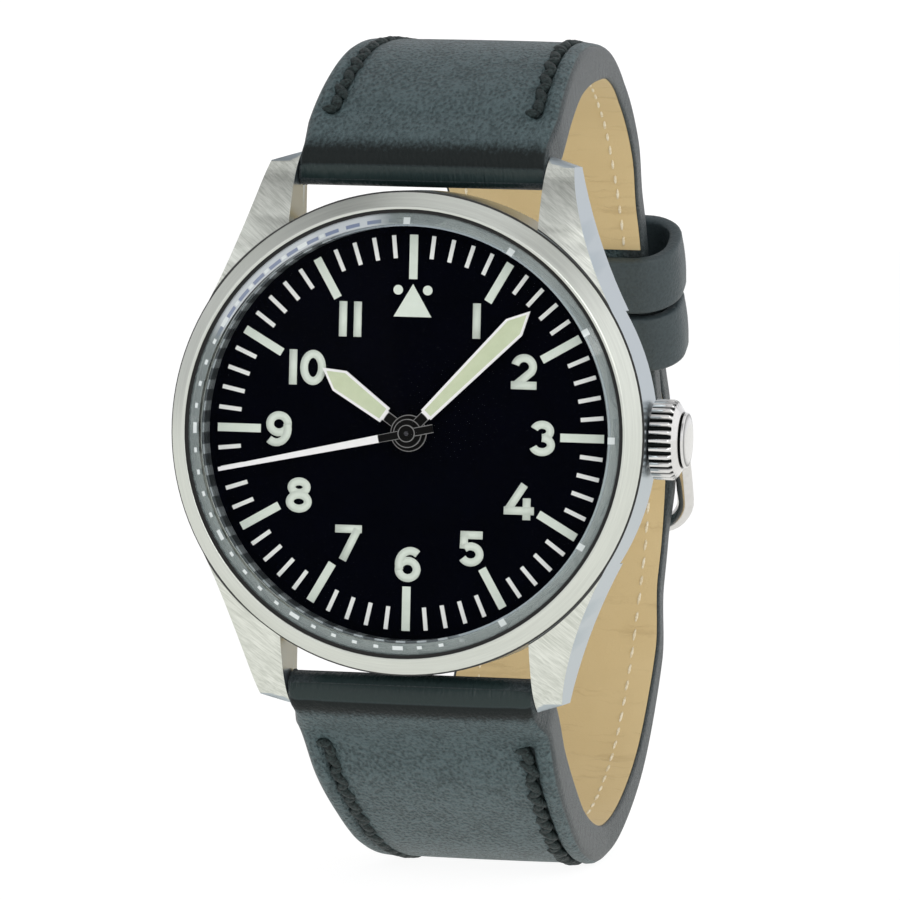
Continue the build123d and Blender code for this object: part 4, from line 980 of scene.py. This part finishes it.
def swept(section, rings, channel_start):
    """Extrudes a section through the rings. Its run and its edge are kept as attributes for the leather."""
    shape = bmesh.new()
    run_layer = shape.verts.layers.float.new("run")
    edge_layer = shape.verts.layers.float.new("edge")
    channel_layer = shape.verts.layers.float.new("channel")
    half = []
    for across, through, groove, edge in section:
        half.append(shape.verts.new((across, 0, through)))
        half[-1][edge_layer], half[-1][channel_layer] = edge, groove
    for pair in pairwise(half):
        shape.edges.new(pair)
    whole = shape.verts[:] + shape.edges[:]
    bmesh.ops.mirror(shape, geom=whole, axis="X", merge_dist=mirror_weld)
    bmesh.ops.remove_doubles(shape, verts=shape.verts[:], dist=mirror_weld)
    outline = shape.edges[:]
    rows, front = drawn_along(shape, [placement(ring) for ring in rings])
    bmesh.ops.contextual_create(shape, geom=outline)
    bmesh.ops.contextual_create(shape, geom=front)
    for ring, row in zip(rings, rows):
        fade = min(max((ring["run"] - channel_start) / mm, 0), 1)
        for vert in row:
            vert[run_layer] = ring["run"] / mm
            vert[channel_layer] *= fade
            vert.co -= ring["out"] * channel_depth * vert[channel_layer]
    return shape


def leather(name, dark, light, grain_depth, rolls):
    """Black grained leather with painted edges; darker and smooth where it rolls round a bar; painted shade
    in its pits, its stitch channel and a ragged band beside the roll.
    """
    finish = Finish(name, {"Specular IOR Level": 0.34, "Coat Roughness": 0.22})
    vector, x, y, z = finish.place()
    run = finish.attribute("run")
    edge = finish.attribute("edge").ramp(0.25, 0.75)
    channel_shade = finish.attribute("channel").ramp(0.2, 1.0)
    hide = finish.combine(x, run * 0.62 if rolls else z, 0 if rolls else y)
    bent = finish.noise(vector, 0.4, 2.0)
    pebbles = finish.cells(hide, 3.7, "SMOOTH_F1")
    crumple = finish.noise(hide, 3.4, 4.0, 0.6)
    fine = finish.noise(hide, 8.0, 3.0)
    relief = pebbles * 0.6 + crumple * 0.9 + fine * 0.25
    roll = (1 - run.ramp(-1.4, -1.15)) * rolls
    # Painted shade, with some wear: a ragged black band beside the roll, on the padding's lower side.
    shade_and_wear = (1 - (run + crumple * 2.6).ramp(1.0, 2.9)) * run.ramp(-1.4, -1.15) * rolls
    smoother = (1 - run.ramp(-0.6, 3.4)) * rolls
    calm = 1 - (edge * 0.8).math("MAXIMUM", edge * 0.8, smoother * 0.75)
    streaks = finish.noise(vector, 5.0, 4.0, 0.6)
    height = relief * calm + streaks * edge * 0.25
    # The grain is darker in its pits: its own tone, and painted shade in the pits.
    even = (relief + bent * 0.4 - 0.98) * (calm * 0.75 + 0.25) + 0.98
    face = finish.blend(even.ramp(0.78, 1.22), dark, light)
    face = finish.blend(smoother * 0.55, face, (0.034, 0.055, 0.061, 1))
    painted = finish.blend(streaks.ramp(0.35, 0.65), (0.020, 0.029, 0.031, 1), (0.060, 0.074, 0.078, 1))
    # Painted shade: the band beside the roll and the stitch channel.
    sunk = shade_and_wear.math("MAXIMUM", shade_and_wear, channel_shade * 0.85)
    rolled = finish.blend(sunk, finish.blend(roll, face, (0.010, 0.024, 0.023, 1)), (0.002, 0.006, 0.006, 1))
    return finish.show(
        Base_Color=finish.blend(edge, rolled, painted),
        Roughness=calm * 0.06 + fine * 0.1 + shade_and_wear * 0.3 + 0.32,
        Coat_Weight=roll * 0.15,
        Normal=finish.bump(height, grain_depth),
    )


black_leather = leather("black_leather", (0.040, 0.068, 0.073, 1), (0.104, 0.156, 0.166, 1), 0.6, 1)


def widened(rings, rise, fall, extra):
    """The same stations, made wider from one stretch of the run to another."""

    def eased(run, low, high):
        share = min(max((run - low) / (high - low), 0), 1)
        return share * share * (3 - 2 * share)

    shares = [eased(ring["run"], *rise) * (1 - eased(ring["run"], *fall)) for ring in rings]
    return [{**ring, "wide": ring["wide"] + extra * share} for ring, share in zip(rings, shares)]


upper_fullness, lower_fullness, full_from = 0.45 * mm, 0.7 * mm, (0.8 * mm, 5 * mm)
upper_full_to = (upper_end - 32 * mm, upper_end - 24 * mm)
lower_full_to = (lower_end - 38 * mm, lower_end - 30 * mm)
upper_rings = widened(strap_rings(upper_stations, creased, True), full_from, upper_full_to, upper_fullness)
lower_rings = widened(strap_rings(lower_stations, smooth, False), full_from, lower_full_to, lower_fullness)
bar_run = lower_end - tail_length
flare = arm_place - wire_radius - narrow_half - 0.1 * mm
flare_from, flare_to = (bar_run - 13 * mm, bar_run - 7 * mm), (bar_run - 5 * mm, bar_run - 1 * mm)
lower_flared = widened(lower_rings, flare_from, flare_to, flare)


cut_low, cut_high, cut_out = -0.8 * buckle_length, 0.4 * buckle_length, 0.5 * buckle_length


def window(shape, low, high, half):
    """Cuts the hole that the tongue stands in through the long piece, between two places below the bar."""

    def near(part):
        place = closure.inverted() @ part.calc_center_median()
        return cut_low < place.y < cut_high and 0 < place.z < cut_out

    cuts = [(up_strap * along, up_strap) for along in (low, high)]
    cuts += [(Vector((side, 0, 0)), Vector((1, 0, 0))) for side in (-half, half)]
    for off, normal in cuts:
        chosen = [face for face in shape.faces if near(face)]
        chosen += list({edge for face in chosen for edge in face.edges})
        bmesh.ops.bisect_plane(shape, geom=chosen, plane_co=buckle_bar + off, plane_no=normal)
    inside = []
    for face in shape.faces:
        place = closure.inverted() @ face.calc_center_median()
        if near(face) and abs(place.x) < half and low < place.y < high:
            inside.append(face)
    bmesh.ops.delete(shape, geom=inside, context="FACES")
    bmesh.ops.bridge_loops(shape, edges=[edge for edge in shape.edges if edge.is_boundary])
    return shape


hole_low, hole_high, hole_half = -4.1 * mm, -0.05 * mm, 1.1 * mm
first_stitch_upper, first_stitch_lower = 5.3 * mm, 7.4 * mm
upper_shape = swept(leather_section, upper_rings, first_stitch_upper - mm)
lower_shape = swept(leather_section, lower_flared, first_stitch_lower - mm)
lower_shape = window(lower_shape, hole_low, hole_high, hole_half)
upper_leather = finished(upper_shape, "strap_upper", "case", black_leather, 50)
lower_leather = finished(lower_shape, "strap_lower", "case", black_leather, 50)
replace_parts(upper_leather, "strap_upper_leather")
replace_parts(lower_leather, "strap_lower_leather")


# Lining: thin tan leather glued and sewn to the inner face, with faint creases across it.
# On the short piece it stops at a black turned-in flap before the keepers.
tan = Finish("tan_lining", {"Specular IOR Level": 0.25, "Sheen Weight": 0.1})
vector, x, *_ = tan.place()
run = tan.attribute("run")
pores = tan.cells(vector, 5.0)
warp = tan.noise(vector, 0.5, 3.0)
creases = tan.noise(tan.combine(x * 0.12, run + warp * 1.6, warp * 0.7), 0.8, 3.0, 0.6).ramp(0.53, 0.70)
patches = tan.noise(vector, 0.16, 3.0)
tan_base = tan.blend(patches, (0.63, 0.475, 0.235, 1), (0.73, 0.575, 0.315, 1))
tan.show(
    # Darker along the creases: painted shade in them.
    Base_Color=tan.blend(creases * 0.3, tan_base, (0.46, 0.33, 0.16, 1)),
    Roughness=pores * 0.1 + 0.5,
    Normal=tan.bump(pores * 0.3 - creases * 0.7, 0.05),
)
lining_start = 4.6 * mm
lining_end = 20.0 * mm
upper_stop = upper_end - lining_end
upper_lined = [r for r in upper_rings if lining_start < r["run"] < upper_stop]
upper_lined.append(frame_at(upper_stations, upper_stop))
lower_lined = [r for r in lower_rings if lining_start < r["run"]]
upper_sheet = swept(lining_section, upper_lined, 0)
lower_sheet = window(swept(lining_section, lower_lined, 0), hole_low, hole_high, hole_half)
for name, sheet in (("strap_upper_lining", upper_sheet), ("strap_lower_lining", lower_sheet)):
    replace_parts(finished(sheet, name + "_tan", "case", tan, 50), name)


# Stitches: thick waxed black thread along both edges outside, cream thread on the lining.
# Each outer row starts with one stitch across, close to the lugs.
def thread(name, dark, light, depth):
    """Twisted thread."""
    finish = Finish(name, {"Specular IOR Level": 0.2})
    vector, *_ = finish.place()
    strands = finish.noise(vector, 4.5, 3.0, 0.6)
    return finish.show(
        Base_Color=finish.blend(strands.ramp(0.3, 0.7), dark, light),
        Roughness=strands * 0.2 + 0.4,
        Normal=finish.bump(strands, depth),
    )


# Each stitch of a row: how far it stands along, how deep, its lean in degrees, and its share of the length
strand_lean, strand_sway, cross_lean, cross_sway, plain_lean = 24, 8, -38, 10, 5
cross_drop, cross_share, tack_share, tack_lean, after_tack = -0.03 * mm, 0.62, 0.55, 80, (0.4, 10, 0.85)
tack_inset_share, length_sway = 0.16, 0.1


def stitch_row(name, stations, first, last, inset, through, sizes, pitch, finish, slot, crossed):
    """Both rows of a strap piece's stitches. Crossed ones lean like a rope's strands, after a tack."""
    shape = bmesh.new()
    length, width, height = sizes
    for sign in (-1, 1):
        run, count = first, 0
        while run < last:
            uneven = sin(2.7 * count + sign)
            lean = strand_lean + strand_sway * uneven if crossed else plain_lean
            parts = [(0, 0, lean, 1 + length_sway * uneven)]
            if crossed:
                parts.append((pitch / 2, cross_drop, cross_lean + cross_sway * uneven, cross_share))
                if not count:
                    step, lean, share = after_tack
                    parts = [(0, 0, tack_lean * sign, tack_share), (pitch * step, 0, lean, share)]
            for step, drop, lean, share in parts:
                station = frame_at(stations, run + step)
                across = crossed and not count and not step
                spot = Vector((sign * (station["wide"] - inset), 0, through * station["thick"] + drop))
                if across:
                    spot.x -= station["side"] * length * tack_inset_share
                made = bmesh.ops.create_uvsphere(shape, u_segments=8, v_segments=6, radius=1)
                size = Matrix.Diagonal((width / 2, share * length / 2, height / 2, 1))
                matrix = placement(station, 1, 1) @ Matrix.Translation(spot)
                matrix = matrix @ Matrix.Rotation(radians(lean), 4, "Z") @ size
                bmesh.ops.transform(shape, matrix=matrix, verts=made["verts"])
            run += pitch
            count += 1
    finished(shape, name, "case", finish, 80)


black_thread = thread("black_thread", (0.003, 0.006, 0.006, 1), (0.034, 0.052, 0.052, 1), 0.16)
cream_thread = thread("cream_thread", (0.70, 0.58, 0.36, 1), (0.92, 0.86, 0.70, 1), 0.02)
outer_inset, outer_level, outer_pitch = 1.7 * mm, 0.86, 2.5 * mm
inner_inset, inner_level, inner_pitch = 1.8 * mm, -1.03, 1.9 * mm
outer_sizes, inner_sizes = (2.7 * mm, 1.05 * mm, 0.95 * mm), (1.25 * mm, 0.3 * mm, 0.3 * mm)
outer = (outer_inset, outer_level, outer_sizes, outer_pitch, black_thread, "strap_leather", True)
inner = (inner_inset, inner_level, inner_sizes, inner_pitch, cream_thread, "lining_leather", False)
keepers_start, tip_margin = 21 * mm, 6 * mm
upper, lower = (upper_stations, first_stitch_upper), (lower_stations, first_stitch_lower)
stitch_row("stitches_upper_outer", *upper, upper_end - keepers_start, *outer)
stitch_row("stitches_lower_outer", *lower, lower_end - tip_margin, *outer)
stitch_row("stitches_upper_inner", *upper, upper_stop, *inner)
stitch_row("stitches_lower_inner", *lower, lower_end - tip_margin, *inner)


# Keepers: loops of folded black leather round both strap pieces, glued and pressed, with soft edges.
# One is sewn in place next to the buckle, and the other slides.
keeper_wall, keeper_swell, keeper_edging = 1.2 * mm, 0.012, 0.35 * mm
bulges = [0.0, 0.35, 0.8, 1.0, 1.0, 0.8, 0.35, 0.0]
keeper_room, keeper_lift = Vector((1.35, 0, 0)) * mm, 0.7 * mm
keeper_leather = leather("keeper_leather", (0.042, 0.058, 0.064, 1), (0.053, 0.072, 0.079, 1), 0.06, 0)


def keeper(node, name, corner):
    """An oval band with a wall of its own thickness and soft edges."""
    source = frame["nodes"][node]
    spots = [closure.inverted() @ v.co for v in source.data.vertices]
    low = Vector(min(s[axis] for s in spots) for axis in range(3)) - keeper_room
    high = Vector(max(s[axis] for s in spots) for axis in range(3)) + keeper_room
    low.y, high.y = low.y + keeper_lift, high.y + keeper_lift
    shape = bmesh.new()
    corners = [(low.x, low.z), (high.x, low.z), (high.x, high.z), (low.x, high.z)]
    ring = [shape.verts.new((x, low.y, z)) for x, z in corners]
    shape.faces.new(ring)
    bmesh.ops.bevel(
        shape, geom=ring, offset=corner, segments=9, profile=0.5, affect="VERTICES", material=-1
    )
    bmesh.ops.delete(shape, geom=shape.faces[:], context="FACES_ONLY")
    middle = (low + high) / 2
    band = shape.edges[:]
    for before, after in pairwise(bulges):
        fresh, band = drawn_out(shape, band)
        swell = (1 + keeper_swell * after) / (1 + keeper_swell * before)
        step = Vector((0, (high.y - low.y) / (len(bulges) - 1), 0))
        centred = Matrix.Translation(-Vector((middle.x, 0, middle.z)))
        grow = centred.inverted() @ Matrix.Diagonal((swell, 1, swell, 1)) @ centred
        bmesh.ops.transform(shape, matrix=Matrix.Translation(step) @ grow, verts=fresh)
    bmesh.ops.transform(shape, matrix=closure, verts=shape.verts[:])
    made = finished(shape, name, source["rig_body"], keeper_leather, 60)
    wall = made.modifiers.new("wall", "SOLIDIFY")
    wall.thickness, wall.offset = keeper_wall, -1
    soften(made, "soft_edges", keeper_edging, 3, 50)
    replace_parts(made, node)


keeper("keeper_fixed", "keeper_sewn", 3.3 * mm)
keeper("keeper_sliding", "keeper_free", 3.9 * mm)
